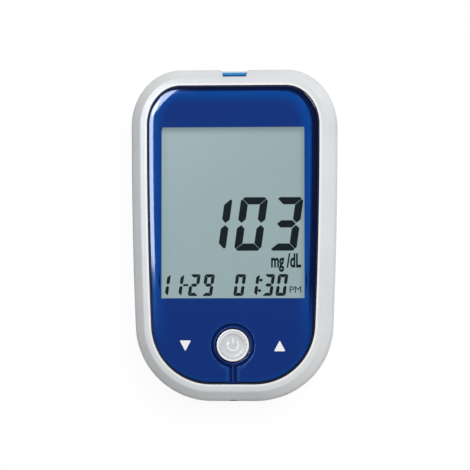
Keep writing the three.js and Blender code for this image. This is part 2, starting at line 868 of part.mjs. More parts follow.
function displayFrame() {
  const gap = closeGap;
  const outside = box(
    -glassHalf - gap - frameWall,
    glassHalf + gap + frameWall,
    glassLow - gap - frameWall,
    glassHigh + gap + frameWall,
    boardTop + gap,
    glassTop,
  );
  const x = glassHalf + gap;
  const over = glassTop + cutOver;
  return outside.subtract(box(-x, x, glassLow - gap, glassHigh + gap, boardTop - cutOver, over));
}

function displayGasket() {
  const x = displayWidth / 2 + deckMargin;
  const y0 = displayLow - deckMargin;
  const y1 = displayHigh + deckMargin;
  const top = gasketUnder + gasketThickness;
  const wide = x + gasketWidth;
  const outside = box(-wide, wide, y0 - gasketWidth, y1 + gasketWidth, gasketUnder, top);
  return outside.subtract(box(-x, x, y0, y1, gasketUnder - cutOver, top + cutOver));
}

const contactStrip = () =>
  box(
    stripInset - glassHalf,
    glassHalf - stripInset,
    glassLow,
    glassLow + stripThickness,
    boardTop + closeGap,
    glassUnder - closeGap,
  );

const displayLamp = (side) => {
  const x = (side * ledPitch) / 2;
  const low = boardTop + closeGap;
  return box(x - ledWidth / 2, x + ledWidth / 2, lampLow, lampLow + ledDepth, low, low + ledHeight);
};

// Circuit board, cut back round the bosses
function circuitBoard() {
  let board = loft([
    [boardInset, boardUnder],
    [boardInset, boardTop],
  ]);
  for (const [x, y] of screwPlaces)
    board = board.subtract(post(x, y, frontBossRadius + seatGap, boardUnder - cutOver, boardTop + cutOver));
  return board;
}

// Parts soldered under the board, in one row between the bay and the upper screws
const partRow = (bayHigh + bayWall + topScrewY) / 2;
const partWidths = [chipSide, memoryWidth, crystalWidth, buzzerRadius * 2];
const rowStart = -(partWidths.reduce((sum, width) => sum + width + partGap, 0) - partGap) / 2;
const partPlace = (index) =>
  partWidths.slice(0, index).reduce((x, width) => x + width + partGap, rowStart) + partWidths[index] / 2;
const solderTop = boardUnder - closeGap;

const underBoard = (x, y, width, length, height) =>
  box(x - width / 2, x + width / 2, y - length / 2, y + length / 2, solderTop - height, solderTop);

const microcontroller = () => underBoard(partPlace(0), partRow, chipSide, chipSide, chipThickness);
const memoryChip = () => underBoard(partPlace(1), partRow, memoryWidth, memoryLength, chipThickness);
const crystal = () => underBoard(partPlace(2), partRow, crystalWidth, crystalLength, crystalThickness);

function buzzer() {
  const under = solderTop - buzzerHeight;
  return turned(
    [
      [0, under + buzzerHeight / 2],
      [buzzerHoleRadius, under + buzzerHeight / 2],
      [buzzerHoleRadius, under],
      [buzzerRadius, under],
      [buzzerRadius, solderTop],
      [0, solderTop],
    ],
    partPlace(3),
    partRow,
  );
}

// Data jack: a block on the board with a round nose in the end wall
function dataJack() {
  const under = boardTop + closeGap;
  const middle = under + jackHeight / 2;
  const wallInside = frontWall + seatGap - halfLength;
  const noseEnd = jackSetback - halfLength;
  const half = jackWidth / 2;
  const block = box(-half, half, wallInside, wallInside + jackReach - seatGap * 2, under, under + jackHeight);
  const nose = bar(0, middle, jackNoseRadius, noseEnd, wallInside + closeGap);
  return block.add(nose).subtract(bar(0, middle, jackBoreRadius, noseEnd - cutOver, noseEnd + jackBoreDepth));
}

// A cell along Y. With direction 1 its nub points to the strip end, and with -1 to the key end
function batteryCell(x, low, direction) {
  const radius = cellDiameter / 2;
  const body = cellLength - nubLength;
  const profile = [
    [0, 0],
    [radius - cellChamfer, 0],
    [radius, cellChamfer],
    [radius, body - cellChamfer],
    [radius - cellChamfer, body],
    [nubDiameter / 2, body],
    [nubDiameter / 2, cellLength],
    [0, cellLength],
  ].map(([r, along]) => new THREE.Vector2(r, along - cellLength / 2));
  const geometry = new THREE.LatheGeometry(profile, roundSteps);
  if (direction < 0) geometry.rotateX(Math.PI);
  return solidOf(geometry.translate(x, low + cellLength / 2, cellHeight));
}
const leftCellLow = contactLow + contactThickness + closeGap + springLength + closeGap;
const rightCellLow = contactLow + contactThickness + closeGap;

// Battery contacts: a bridge at the key end and two plates at the divider, each with a tag up to the board
const upperContact = dividerLow - closeGap - contactThickness;

function contactLegs() {
  return [
    [-cellSide, upperContact],
    [cellSide, upperContact],
    [0, contactLow],
  ];
}

function contactPlate(x0, x1, y, legX) {
  const half = contactSide / 2;
  const plate = box(x0, x1, y, y + contactThickness, cellHeight - half, cellHeight + half);
  const leg = box(
    legX - contactLegWidth / 2,
    legX + contactLegWidth / 2,
    y,
    y + contactThickness,
    cellHeight,
    boardUnder - closeGap,
  );
  return plate.add(leg);
}

const contactBridge = () => contactPlate(-bayHalf + cellGap, bayHalf - cellGap, contactLow, 0);
const contactPositive = () =>
  contactPlate(-cellSide - contactSide / 2, -cellSide + contactSide / 2, upperContact, -cellSide);
const contactNegative = () =>
  contactPlate(cellSide - contactSide / 2, cellSide + contactSide / 2, upperContact, cellSide);

// Conical contact spring, wound along Y from its wide end at y0. Its turns are one tube.
function contactSpring(x, y0, direction) {
  const sides = springSides;
  const count = Math.round(springTurns * springSteps);
  const wire = springWire / 2;
  const run = springLength - springWire;
  const middles = [];
  const positions = [];
  const faces = [];
  for (let i = 0; i <= count; i++) {
    const t = i / count;
    const a = t * springTurns * Math.PI * 2;
    const radius = springWideRadius - (springWideRadius - springNarrowRadius) * t;
    const y = y0 + direction * (wire + run * t);
    middles.push(new THREE.Vector3(x + radius * Math.cos(a), y, cellHeight + radius * Math.sin(a)));
    for (let k = 0; k < sides; k++) {
      const b = (k / sides) * Math.PI * 2;
      const out = radius + wire * Math.cos(b);
      positions.push(x + out * Math.cos(a), y + wire * Math.sin(b), cellHeight + out * Math.sin(a));
    }
  }
  for (let i = 0; i < count; i++)
    for (let k = 0; k < sides; k++) {
      const a = i * sides + k;
      const b = i * sides + ((k + 1) % sides);
      faces.push(a, b, b + sides, a, b + sides, a + sides);
    }
  const end = count * sides;
  for (let k = 1; k + 1 < sides; k++) faces.push(0, k + 1, k, end, end + k, end + k + 1);
  let least = Infinity;
  for (let i = 0; i <= count; i++)
    for (let j = i + springSteps / 2; j <= count; j++)
      least = Math.min(least, middles[i].distanceTo(middles[j]) - springWire);
  console.log("least gap between the turns of a contact spring: " + least.toFixed(2) + " mm");
  const geometry = new THREE.BufferGeometry();
  geometry.setAttribute("position", new THREE.BufferAttribute(new Float32Array(positions), 3));
  geometry.setIndex(faces);
  return solidOf(geometry);
}

// Battery door: a plate with two hooks at the key end, grip ridges, and a notch for the latch
function batteryDoor() {
  const plateShape = roundedRectangle(-doorHalf, doorHalf, doorLow, doorHigh, doorCornerRadius);
  let door = prism(plateShape, doorRecess, doorInside);
  const notchHalf = latchWidth / 2 + seatGap;
  const notchLow = latchLow + latchLeaf + seatGap * 2;
  const notchTop = doorInside + cutOver;
  door = door.subtract(box(-notchHalf, notchHalf, notchLow, doorHigh + cutOver, -cutOver, notchTop));
  const low = doorLow + labelSetback - closeGap;
  const high = doorLow + labelSetback + labelLength + closeGap;
  const recessHalf = labelWidth / 2 + closeGap;
  door = door.subtract(box(-recessHalf, recessHalf, low, high, -cutOver, doorRecess + labelRecess));
  for (const side of [-1, 1]) {
    const x = (side * hookSpread) / 2;
    const half = hookWidth / 2;
    const under = doorInside + hookLift;
    const rootEnd = doorLow + hookRoot;
    door = door
      .add(box(x - half, x + half, doorLow, rootEnd, doorInside - closeGap, under + hookThickness))
      .add(box(x - half, x + half, doorLow - hookReach, rootEnd, under, under + hookThickness));
  }
  for (let i = 0; i < ridgeCount; i++) {
    const y = latchLow - ridgeSetback - i * ridgePitch;
    const half = ridgeLength / 2;
    door = door.add(box(-half, half, y, y + ridgeWidth, doorRecess - ridgeHeight, doorRecess + closeGap));
  }
  return door;
}

// Blank label in its recess in the door
function doorLabel() {
  const low = doorLow + labelSetback;
  const top = doorRecess + labelRecess - closeGap / 2;
  return box(-labelWidth / 2, labelWidth / 2, low, low + labelLength, top - labelThickness, top);
}

// Door latch: a leaf that rises from the door, folds over and comes down to a nose and a thumb pad
function doorLatch() {
  const half = latchWidth / 2;
  const rise = doorInside + latchHeight;
  const first = latchLow + seatGap;
  const second = bayHigh - seatGap - latchLeaf;
  const noseLow = doorInside + latchNoseLift;
  return joined([
    box(-half, half, first, first + latchLeaf, doorInside + closeGap, rise),
    box(-half, half, first, second + latchLeaf, rise - latchLeaf, rise),
    box(-half, half, second, second + latchLeaf, doorRecess, rise),
    box(-half, half, second, bayHigh + latchBite, noseLow, noseLow + latchNose),
    box(-half, half, second - latchLeaf, doorHigh, doorRecess, doorInside - closeGap),
  ]);
}

// Case screw: a round head with a cross recess, and its shank
function caseScrew(x, y) {
  const seat = screwSeatHeight - closeGap;
  const under = seat - screwHeadHeight;
  const screw = turned(
    [
      [0, under],
      [screwHeadRadius * screwCrownShare, under],
      [screwHeadRadius, under + screwHeadHeight / 3],
      [screwHeadRadius, seat],
      [screwShankRadius, seat],
      [screwShankRadius, seat + screwLength - screwShankRadius],
      [0, seat + screwLength],
    ],
    x,
    y,
  );
  const long = screwSlotLength / 2;
  const wide = screwSlotWidth / 2;
  const bottom = under - cutOver;
  const top = under + screwSlotDepth;
  return screw
    .subtract(box(x - long, x + long, y - wide, y + wide, bottom, top))
    .subtract(box(x - wide, x + wide, y - long, y + long, bottom, top));
}

const meter = new THREE.Group();
meter.add(part("rear_housing", rearHousing(), silverPlastic));
meter.add(part("front_housing", frontHousing(), silverPlastic));
meter.add(part("face_panel", facePanel(), bluePanel));
meter.add(part("display_window", displayWindow(), clearPane));
meter.add(part("down_key", arrowKey(-1), bluePanel));
meter.add(part("up_key", arrowKey(1), bluePanel));
meter.add(part("power_button", powerButton(), silverPlastic));
meter.add(part("button_surround", buttonSurround(), darkBlue));
meter.add(part("power_dome", snapDome(0), steel));
meter.add(part("down_dome", snapDome(-arrowPost), steel));
meter.add(part("up_dome", snapDome(arrowPost), steel));
meter.add(part("display_gasket", displayGasket(), blackFoam));
meter.add(part("display_cell", displayCell(), displayGlass));
meter.add(part("light_guide", lightGuide(), whitePlastic));
meter.add(part("display_frame", displayFrame(), whitePlastic));
meter.add(part("contact_strip", contactStrip(), blackFoam));
meter.add(part("display_lamp_left", displayLamp(-1), paperWhite));
meter.add(part("display_lamp_right", displayLamp(1), paperWhite));
meter.add(part("circuit_board", circuitBoard(), boardGreen));
meter.add(part("microcontroller", microcontroller(), blackPlastic));
meter.add(part("memory_chip", memoryChip(), blackPlastic));
meter.add(part("crystal", crystal(), steel));
meter.add(part("buzzer", buzzer(), blackPlastic));
meter.add(part("strip_port", stripPort(), portBlue));
meter.add(part("strip_connector", stripConnector(), blackPlastic));
for (let i = 0; i < contactCount; i++) meter.add(part("strip_finger_" + (i + 1), stripFinger(i), gold));
meter.add(part("data_jack", dataJack(), blackPlastic));
meter.add(part("battery_cell_left", batteryCell(-cellSide, leftCellLow, 1), cellWrap));
meter.add(part("battery_cell_right", batteryCell(cellSide, rightCellLow, -1), cellWrap));
meter.add(part("contact_bridge", contactBridge(), nickel));
meter.add(part("contact_positive", contactPositive(), nickel));
meter.add(part("contact_negative", contactNegative(), nickel));
const lowerSeat = contactLow + contactThickness + closeGap / 2;
const upperSeat = upperContact - closeGap / 2;
meter.add(part("spring_key_end", contactSpring(-cellSide, lowerSeat, 1), nickel));
meter.add(part("spring_strip_end", contactSpring(cellSide, upperSeat, -1), nickel));
meter.add(part("battery_door", batteryDoor(), silverPlastic));
meter.add(part("door_latch", doorLatch(), silverPlastic));
meter.add(part("door_label", doorLabel(), paperWhite));
const screwNames = ["top_left", "top_right", "key_left", "key_right"];
screwPlaces.forEach(([x, y], i) => meter.add(part("case_screw_" + screwNames[i], caseScrew(x, y), steel)));

export default meter;
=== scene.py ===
# %% [markdown]
# # A blood glucose meter
# The meter lies on its back: silver case, deep blue face panel, a grey segment display and three keys.
# Its CAD model gives every piece its size and place. This script gives the pieces their fine surfaces
# and finishes. Each new surface is a grid of points worked out with numpy, in millimetres, and only the
# last step to the mesh turns them into Blender's metres.

# %% Load the frame
import json
import bmesh
import bpy
import numpy as np
from mathutils import Matrix, Vector


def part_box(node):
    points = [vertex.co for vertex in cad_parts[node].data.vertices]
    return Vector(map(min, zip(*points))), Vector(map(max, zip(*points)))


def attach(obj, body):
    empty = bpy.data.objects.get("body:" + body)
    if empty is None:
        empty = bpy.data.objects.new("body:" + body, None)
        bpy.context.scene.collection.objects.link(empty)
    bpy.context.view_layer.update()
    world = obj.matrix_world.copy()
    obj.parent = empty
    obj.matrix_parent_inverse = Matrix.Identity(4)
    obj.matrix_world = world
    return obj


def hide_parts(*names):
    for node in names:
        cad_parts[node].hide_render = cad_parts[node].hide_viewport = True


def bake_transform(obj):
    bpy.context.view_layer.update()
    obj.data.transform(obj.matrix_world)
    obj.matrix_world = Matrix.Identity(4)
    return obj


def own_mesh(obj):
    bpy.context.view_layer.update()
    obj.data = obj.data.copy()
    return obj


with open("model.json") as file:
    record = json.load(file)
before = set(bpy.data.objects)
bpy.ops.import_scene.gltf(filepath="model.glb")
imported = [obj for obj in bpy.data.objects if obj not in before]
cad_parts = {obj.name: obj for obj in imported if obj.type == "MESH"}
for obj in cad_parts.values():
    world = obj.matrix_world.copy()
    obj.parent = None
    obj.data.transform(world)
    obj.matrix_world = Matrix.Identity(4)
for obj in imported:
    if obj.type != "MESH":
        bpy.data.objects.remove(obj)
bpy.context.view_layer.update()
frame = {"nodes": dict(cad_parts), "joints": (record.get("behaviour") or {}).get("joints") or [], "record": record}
MM = 0.001


def span(node):
    """Lowest and highest corner of a CAD node, in millimetres."""
    low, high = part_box(node)
    return np.array(low) / MM, np.array(high) / MM


joints = {joint["name"]: joint for joint in frame["joints"]}

# %% [markdown]
# ## From grids to meshes
# Every surface here is a grid: one direction runs along the piece, the other round its section. A grid
# could become a mesh with a modifier or with loops over its corners. Worked out as one array of corner
# numbers, it takes a line, and the same function closes the grid on itself or caps its ends.


# %% Grid helpers
SMOOTH = 32
WELD = 0.0005


def grid_faces(rows, columns, wrap_rows=False):
    """Quads of a grid whose columns run round: corner (i, j) is number i * columns + j, and each quad joins
    (i, j), (i+1, j), (i+1, j+1) and (i, j+1). Wrapped rows join their last to their first."""
    a, b = np.meshgrid(np.arange(rows if wrap_rows else rows - 1), np.arange(columns), indexing="ij")
    c, d = (a + 1) % rows, (b + 1) % columns
    quads = [a * columns + b, c * columns + b, c * columns + d, a * columns + d]
    return np.stack(quads, -1).reshape(-1, 4).tolist()


def linked(name, data):
    """A new object in the scene, with that data."""
    obj = bpy.data.objects.new(name, data)
    bpy.context.scene.collection.objects.link(obj)
    return obj


def shade(obj, smooth=SMOOTH):
    """Smooth shading, with sharp edges where the faces meet at more than `smooth` degrees."""
    obj.data.shade_smooth()
    obj.data.set_sharp_from_angle(angle=np.radians(smooth))
    return obj


def piece(name, points, faces, smooth=SMOOTH, agree=True):
    """A mesh from points in millimetres. Points within WELD are merged, and where the enclosed volume is
    negative the faces are turned round. With agree, they are first made to face the same way."""
    mesh = bpy.data.meshes.new(name)
    mesh.from_pydata((np.asarray(points, float).reshape(-1, 3) * MM).tolist(), [], faces)
    work = bmesh.new()
    work.from_mesh(mesh)
    bmesh.ops.remove_doubles(work, verts=work.verts, dist=WELD * MM)
    if agree:
        bmesh.ops.recalc_face_normals(work, faces=work.faces)
    if work.calc_volume(signed=True) < 0:
        bmesh.ops.reverse_faces(work, faces=work.faces)
    work.to_mesh(mesh)
    work.free()
    return shade(linked(name, mesh), smooth)


def skin(name, grid, wrap_rows=False, smooth=SMOOTH):
    """A closed piece from a grid whose columns run round: its rows are wrapped too, or both ends are
    capped with one face each."""
    rows, columns = grid.shape[:2]
    faces = grid_faces(rows, columns, wrap_rows)
    if not wrap_rows:
        faces += [list(range(columns)), list(range((rows - 1) * columns, rows * columns))[::-1]]
    return piece(name, grid, faces, smooth)


def joined(name, pieces):
    """Several pieces made one object, each kept as its own closed shell."""
    work = bmesh.new()
    for part in pieces:
        work.from_mesh(part.data)
        bpy.data.objects.remove(part)
    mesh = bpy.data.meshes.new(name)
    work.to_mesh(mesh)
    work.free()
    return shade(linked(name, mesh))


def places(mesh):
    """The places of a mesh's vertices, a row each."""
    spot = np.empty(len(mesh.vertices) * 3)
    mesh.vertices.foreach_get("co", spot)
    return spot.reshape(-1, 3)


def applied(obj):
    """The mesh that an object shows, with its modifiers or its letters worked out."""
    posed = obj.evaluated_get(bpy.context.evaluated_depsgraph_get())
    return bpy.data.meshes.new_from_object(posed)


def carve(obj, *tools, operation="DIFFERENCE", smooth=SMOOTH):
    """obj with each tool cut from it, or joined to it, and the tools taken away. The result is applied."""
    for tool in tools:
        modifier = obj.modifiers.new("carve", "BOOLEAN")
        modifier.operation = operation
        modifier.solver = "EXACT"
        modifier.object = tool
        mesh = applied(obj)
        obj.modifiers.clear()
        obj.data = mesh
        bpy.data.objects.remove(tool)
    return shade(obj, smooth)


def soften(obj, width, segments=2, angle=40):
    """Rounds the edges that bend by more than `angle` degrees, by `width` millimetres."""
    modifier = obj.modifiers.new("soften", "BEVEL")
    modifier.width = width * MM
    modifier.segments = segments
    modifier.limit_method = "ANGLE"
    modifier.angle_limit = np.radians(angle)
    return obj


# %% [markdown]
# ## Rounded profiles
# Moulded edges are never sharp. A profile is written as a few corners, each with its own radius, and
# every corner is replaced by a short curve. A Bezier curve was chosen over a true arc because it needs
# no angle: it starts and ends on the two straight stretches, and leans towards the corner.


# %% Rounded profile helper
def rounded(corners, closed=True, steps=6):
    """Points along a profile of (x, y, radius) corners. At each corner P the curve runs from A to B,
    `radius` away along the two sides: (1-t)^2 A + 2 t (1-t) P + t^2 B."""
    corners = np.array(corners, float)
    points, reach = corners[:, :2], corners[:, 2:]
    back = np.roll(points, 1, 0) - points
    ahead = np.roll(points, -1, 0) - points
    back /= np.maximum(np.linalg.norm(back, axis=1, keepdims=True), 1e-9)
    ahead /= np.maximum(np.linalg.norm(ahead, axis=1, keepdims=True), 1e-9)
    if not closed:
        reach[[0, -1]] = 0
    start, end = points + back * reach, points + ahead * reach
    t = np.linspace(0, 1, steps)[:, None, None]
    curve = (1 - t) ** 2 * start + 2 * t * (1 - t) * points + t**2 * end
    curve = curve.transpose(1, 0, 2).reshape(-1, 2)
    gap = np.linalg.norm(np.diff(curve, axis=0), axis=1)
    return curve[np.r_[True, gap > 1e-6]]


print("a rounded square has", len(rounded([(0, 0, 1), (9, 0, 1), (9, 9, 1), (0, 9, 1)])), "points")

# %% [markdown]
# ## The outline of the case
# Everything follows the outline: a flat end with elliptical corners at the strip end, sides that lean
# in a little, and a round key end. The right half is worked out as five stretches, each point with its
# outward direction, and mirrored. Moving each point inwards along its direction gives every other
# ring of the case and of the face panel, so that the gaps between them stay even.

# %% Outline of the case
case_high = span("rear_housing")[1]
HALF_WIDTH, HALF_LENGTH = case_high[0], case_high[1]
TOP_CORNER = (14.5, 16.2)
KEY_RADIUS = 22.3
LEAN = np.radians(2.5)


def right_half(top=6, corner=26, side=14, key=34, base=4):
    """Points and outward directions of the outline's right half, from the strip end to the key end:
    x = c + a sin s, y = d + b cos s round the elliptical corner, x = w - k t^2 down the side, and a
    circle at the key end."""
    a, b = TOP_CORNER
    cx, cy = HALF_WIDTH - a, HALF_LENGTH - b
    ky = KEY_RADIUS - HALF_LENGTH
    run = cy - ky + KEY_RADIUS * np.sin(LEAN)
    lean = run / 2 * np.tan(LEAN)
    kx = HALF_WIDTH - lean - KEY_RADIUS * np.cos(LEAN)
    flat = np.linspace(0, cx, top, endpoint=False)
    s = np.linspace(0, np.pi / 2, corner, endpoint=False)
    t = np.linspace(0, 1, side, endpoint=False)
    q = np.linspace(LEAN, np.pi / 2, key, endpoint=False)
    foot = np.linspace(kx, 0, base)
    x = np.r_[flat, cx + a * np.sin(s), HALF_WIDTH - lean * t**2, kx + KEY_RADIUS * np.cos(q), foot]
    y = np.r_[flat * 0 + HALF_LENGTH, cy + b * np.cos(s), cy - run * t, ky - KEY_RADIUS * np.sin(q),
              foot * 0 - HALF_LENGTH]
    nx = np.r_[flat * 0, np.sin(s) / a, t * 0 + run, np.cos(q), foot * 0]
    ny = np.r_[flat * 0 + 1, np.cos(s) / b, -2 * lean * t, -np.sin(q), foot * 0 - 1]
    out = np.stack([nx, ny], -1)
    return np.stack([x, y], -1), out / np.linalg.norm(out, axis=1, keepdims=True)


HALF, HALF_OUT = right_half()
MIRROR = np.array([-1, 1])
LAID = [0, 2, 1]
EDGE = np.r_[HALF, (HALF * MIRROR)[-2:0:-1]]
OUT = np.r_[HALF_OUT, (HALF_OUT * MIRROR)[-2:0:-1]]


def loft(profile):
    """A grid through copies of the outline, one for each (inset, height) of the profile."""
    inset, height = np.asarray(profile, float).T
    flat = EDGE[None] - inset[:, None, None] * OUT[None]
    return np.concatenate([flat, np.broadcast_to(height[:, None, None], flat[..., :1].shape)], -1)


def stacked(rings):
    """A grid of outlines on the page, each given with its height. Other orders of the last axis, such as
    LAID, set the outlines upright instead."""
    return np.stack([np.c_[ring, np.full(len(ring), height)] for ring, height in rings])


def block(x0, x1, y0, y1, z0, z1):
    """A plain box, used to cut other pieces."""
    square = [(x0, y0), (x1, y0), (x1, y1), (x0, y1)]
    return skin("block", stacked([(square, z0), (square, z1)]))


def turned_grid(profile, x, y, steps):
    """Points of a (radius, height) profile turned about the upright axis through x, y."""
    radius, height = np.asarray(profile, float).T
    a = np.linspace(0, 2 * np.pi, steps, endpoint=False)
    return np.stack([x + np.outer(radius, np.cos(a)), y + np.outer(radius, np.sin(a)),
                     np.repeat(height[:, None], steps, 1)], -1)


def turned(name, profile, x, y, steps=64, smooth=SMOOTH, wrap_rows=False):
    """A turned profile as a piece, with its ends capped or, for a ring, with its rows wrapped."""
    return skin(name, turned_grid(profile, x, y, steps), wrap_rows, smooth)


print("outline points", len(EDGE))

# %% [markdown]
# ## Front housing: the silver rim
# The rim is one moulding that runs round the face: a steep outer band, a crease, and a flatter inner
# band that ends at the gap to the blue panel. It could be modelled as a beveled curve, but its section
# has to keep its shape in the corners, so one closed profile is carried round the outline. The notch
# for the test strip and the hole for the data jack are cut afterwards.

# %% Front housing
PANEL_LOW, PANEL_HIGH = span("face_panel")
PANEL_TOP, PANEL_UNDER = PANEL_HIGH[2], PANEL_LOW[2]
PANEL_INSET = HALF_LENGTH - PANEL_HIGH[1]
SEAM = 13.0
SEAM_GAP = 0.3
WALL = 2.0
PANEL_GAP = 0.3
DECK = 1.0
END_DROP = 0.2
RIM_SMOOTH = 28
deck_top = PANEL_UNDER - PANEL_GAP
deck_under = deck_top - DECK
crest = span("front_housing")[1][2]
recess = PANEL_INSET - PANEL_GAP
rim_foot = SEAM + SEAM_GAP / 2
rim_profile = rounded([
    (0.0, rim_foot, 0.25),
    (0.0, crest - 2.95, 1.15),
    (2.8, crest - 0.3, 0.4),
    (recess, crest + 0.03, 0.1),
    (recess, deck_under, 0.05),
    (recess - 0.7, deck_under, 0.2),
    (WALL, deck_under - 2.4, 0.2),
    (WALL, SEAM - 1.2, 0.15),
    (WALL - 0.95, SEAM - 1.2, 0.15),
    (WALL - 0.95, rim_foot, 0.05),
])
rim_grid = loft(rim_profile)
foot_rows = (rim_profile[:, 0] < 1.3) & (rim_profile[:, 1] > rim_foot + 1)
rim_grid[foot_rows, :, 2] -= END_DROP * OUT[:, 1] ** 2
rim = skin("rim", rim_grid, wrap_rows=True, smooth=RIM_SMOOTH)

port_low, port_high = span("strip_port")
NOTCH = 4.0
NOTCH_DEPTH = 2.25
JACK_RADIUS = 2.2
notch_end = HALF_LENGTH - NOTCH_DEPTH
room = port_high[0] + 0.3
flare = np.array([(-NOTCH + 0.85, notch_end), (NOTCH - 0.35, notch_end), (NOTCH + 0.75, HALF_LENGTH + 2),
                  (-NOTCH + 0.55, HALF_LENGTH + 2)])
notch = stacked([(flare, port_high[2] - 0.1), (flare, crest + 2)])
port_room = (-room, room, port_low[1] - 0.3, HALF_LENGTH + 2, port_low[2] - 0.2, port_high[2] + 0.2)
jack_low, jack_high = span("data_jack")
jack_middle = (jack_low[2] + jack_high[2]) / 2
hole = turned_grid([(JACK_RADIUS, -HALF_LENGTH - 2), (JACK_RADIUS, -HALF_LENGTH + 3)], 0, jack_middle, 48)
carve(rim, skin("notch", notch), block(*port_room), skin("hole", hole[..., LAID]), smooth=RIM_SMOOTH)
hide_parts("front_housing")
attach(rim, "case")
print("rim faces", len(rim.data.polygons))

# %% [markdown]
# ## Front housing: the deck
# Under the blue panel lies a flat deck, with openings for the display, the power button and the two key
# posts. The panel hides most of it, and only its edge shows in the gaps. It is a plate with the case's
# outline, lower under the keys to leave them room to flex, with the openings cut through.

# %% Deck
window_low, window_high = span("display_window")
SLACK = 0.1
win_x, win_low, win_high = window_high[0] + SLACK, window_low[1] - SLACK, window_high[1] + SLACK
hinge_y = joints["down_key_press"]["pos_m"][1] / MM
button_low, button_high = span("power_button")
key_row = (button_low[1] + button_high[1]) / 2
ARROW_X = 13.7
WELL = 0.77
well_top = deck_top - WELL
BUTTON_RADIUS = 4.65
DECK_TUCK = 0.3
POST_HOLE = 1.9
FAR = 60
CUT_LOW, CUT_HIGH = 10, 30


def post(x, y, radius, low, high, steps=48):
    """An upright round bar, used to cut holes."""
    return turned("post", [(radius, low), (radius, high)], x, y, steps)


def shelf(name, low):
    """A plate of the deck's thickness, with the outline of the recess and its lower face at a height."""
    return skin(name, loft([(recess - DECK_TUCK, low), (recess - DECK_TUCK, low + DECK)]))


upper = carve(shelf("deck", deck_under), block(-FAR, FAR, -FAR, hinge_y + 0.3, CUT_LOW, CUT_HIGH))
lower = carve(shelf("well", well_top - DECK), block(-FAR, FAR, hinge_y + 0.9, FAR, CUT_LOW, CUT_HIGH))
deck = carve(upper, lower, operation="UNION")
carve(
    deck,
    block(-win_x - 0.5, win_x + 0.5, win_low - 0.5, win_high + 0.5, CUT_LOW, CUT_HIGH),
    post(0, key_row, BUTTON_RADIUS + 0.25, CUT_LOW, CUT_HIGH),
    post(ARROW_X, key_row, POST_HOLE, CUT_LOW, CUT_HIGH),
    post(-ARROW_X, key_row, POST_HOLE, CUT_LOW, CUT_HIGH),
    block(*port_room),
)
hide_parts("front_housing")
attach(deck, "case")
print("deck faces", len(deck.data.polygons))

# %% [markdown]
# ## Face panel and its flexing keys
# The blue panel is one glossy moulding. Its two lower corners are the arrow keys, and flex downwards on
# both sides of the round recess and the slot below it. To bend smoothly it is made in two halves, each
# a strip between an outer line, the panel's edge, and an inner line, which runs along the window, the
# middle seam and the recess. The halves meet exactly on the middle line, where no edge shows.
# A Boolean cut would leave long flat faces that can't bend, and a strip gives rows to bend instead.

# %% Face panel: matching lines
ROUND = 3.0
DROP = 0.85
EDGE_GAP = 0.14
RECESS_RADIUS = 6.3
SLOT = 1.15
LIP = 0.75
LIP_FALL = 0.07
LIP_ROUND = 0.06
ROW_COUNTS = (22, 46, 16, 14, 56)
SIDE_CUTS = (-19.5, -22.5, hinge_y - 0.2)


def along(points, share):
    """Values at shares of the length of a line of points, by linear interpolation."""
    step = np.linalg.norm(np.diff(points[:, :2], axis=0), axis=1)
    run = np.r_[0, np.cumsum(step)]
    return np.stack([np.interp(share * run[-1], run, column) for column in points.T], -1)


def ring_low(x):
    """Height on the page of the recess's lower edge at x."""
    return key_row - np.sqrt(RECESS_RADIUS**2 - x**2)


def panel_lines():
    """Matching points of the outer line, with their outward directions, and of the inner line. The lines
    are divided where the inner one turns, and each stretch is shared out evenly."""
    top, corner, side, key, base = 40, 90, 120, 160, 40
    edge, out = right_half(top, corner, side, key, base)
    line = np.c_[edge - (recess + EDGE_GAP) * out, out]
    join = 1.6 * SLOT
    foot = line[-1, 1]
    line = np.r_[line[(line[:, 0] > join) | (line[:, 1] > 0)], [(join, foot, 0, -1)]]
    side_y = line[top + corner:top + corner + side, 1]
    cuts = [0, top + corner // 2]
    cuts += [top + corner + int(np.argmin(np.abs(side_y - y))) for y in SIDE_CUTS]
    cuts += [len(line) - 1]
    a = np.linspace(0, np.pi, 200)
    ring = np.stack([RECESS_RADIUS * np.sin(a), key_row + RECESS_RADIUS * np.cos(a)], -1)
    ring = ring[(ring[:, 0] > join) | (ring[:, 1] > key_row)]
    turns = [
        np.array([(0, win_high), (win_x, win_high)]),
        np.array([(win_x, win_high), (win_x, win_low)]),
        np.array([(win_x, win_low), (0, win_low)]),
        np.array([(0, win_low), (0, key_row + RECESS_RADIUS)]),
        np.r_[ring, [(join, ring_low(join))]],
    ]
    outer, inner = [], []
    for k, count in enumerate(ROW_COUNTS):
        share = np.linspace(0, 1, count, endpoint=False)
        outer.append(along(line[cuts[k]:cuts[k + 1] + 1], share))
        inner.append(along(turns[k], share))
    x = SLOT + (join - SLOT) * np.array([1, 0.72, 0.5, 0.33, 0.2, 0.1, 0.04, 0])
    outer.append(np.stack([x, x * 0 + foot, x * 0, x * 0 - 1], -1))
    inner.append(np.stack([x, ring_low(x)], -1))
    return np.concatenate(outer), np.concatenate(inner)


panel_outer, panel_inner = panel_lines()
print("panel rows", len(panel_outer), "foot", panel_outer[-1, :2].round(2))

# %% [markdown]
# The section of the panel is worked out for every row at once: up its edge, round it, over the flat top,
# down at the inner line and back underneath. Near the recess and the slot the top falls away, which gives
# the soft lips there.

# %% Face panel: the two halves
BEND_POINTS = 14
RIGHT_LESS = 0.3
HURRY, HURRY_END = 2.4, 1.9
RECESS_SHIFT = 0.5
NEAR_SLOT = key_row - 0.9 * RECESS_RADIUS
NO_SLOT = 9.0
ASIDE, RIGHT_UP, LEFT_UP = (12, 22), (-30, -15), (-40, -25)


def lip_distance(x, y):
    """Distance to the recess or to the slot, whichever is nearer, in millimetres."""
    ring = np.hypot(x, y - key_row) - RECESS_RADIUS
    slot = np.where(y < NEAR_SLOT, np.abs(x) - SLOT, NO_SLOT)
    return np.maximum(np.minimum(ring, slot), 0)


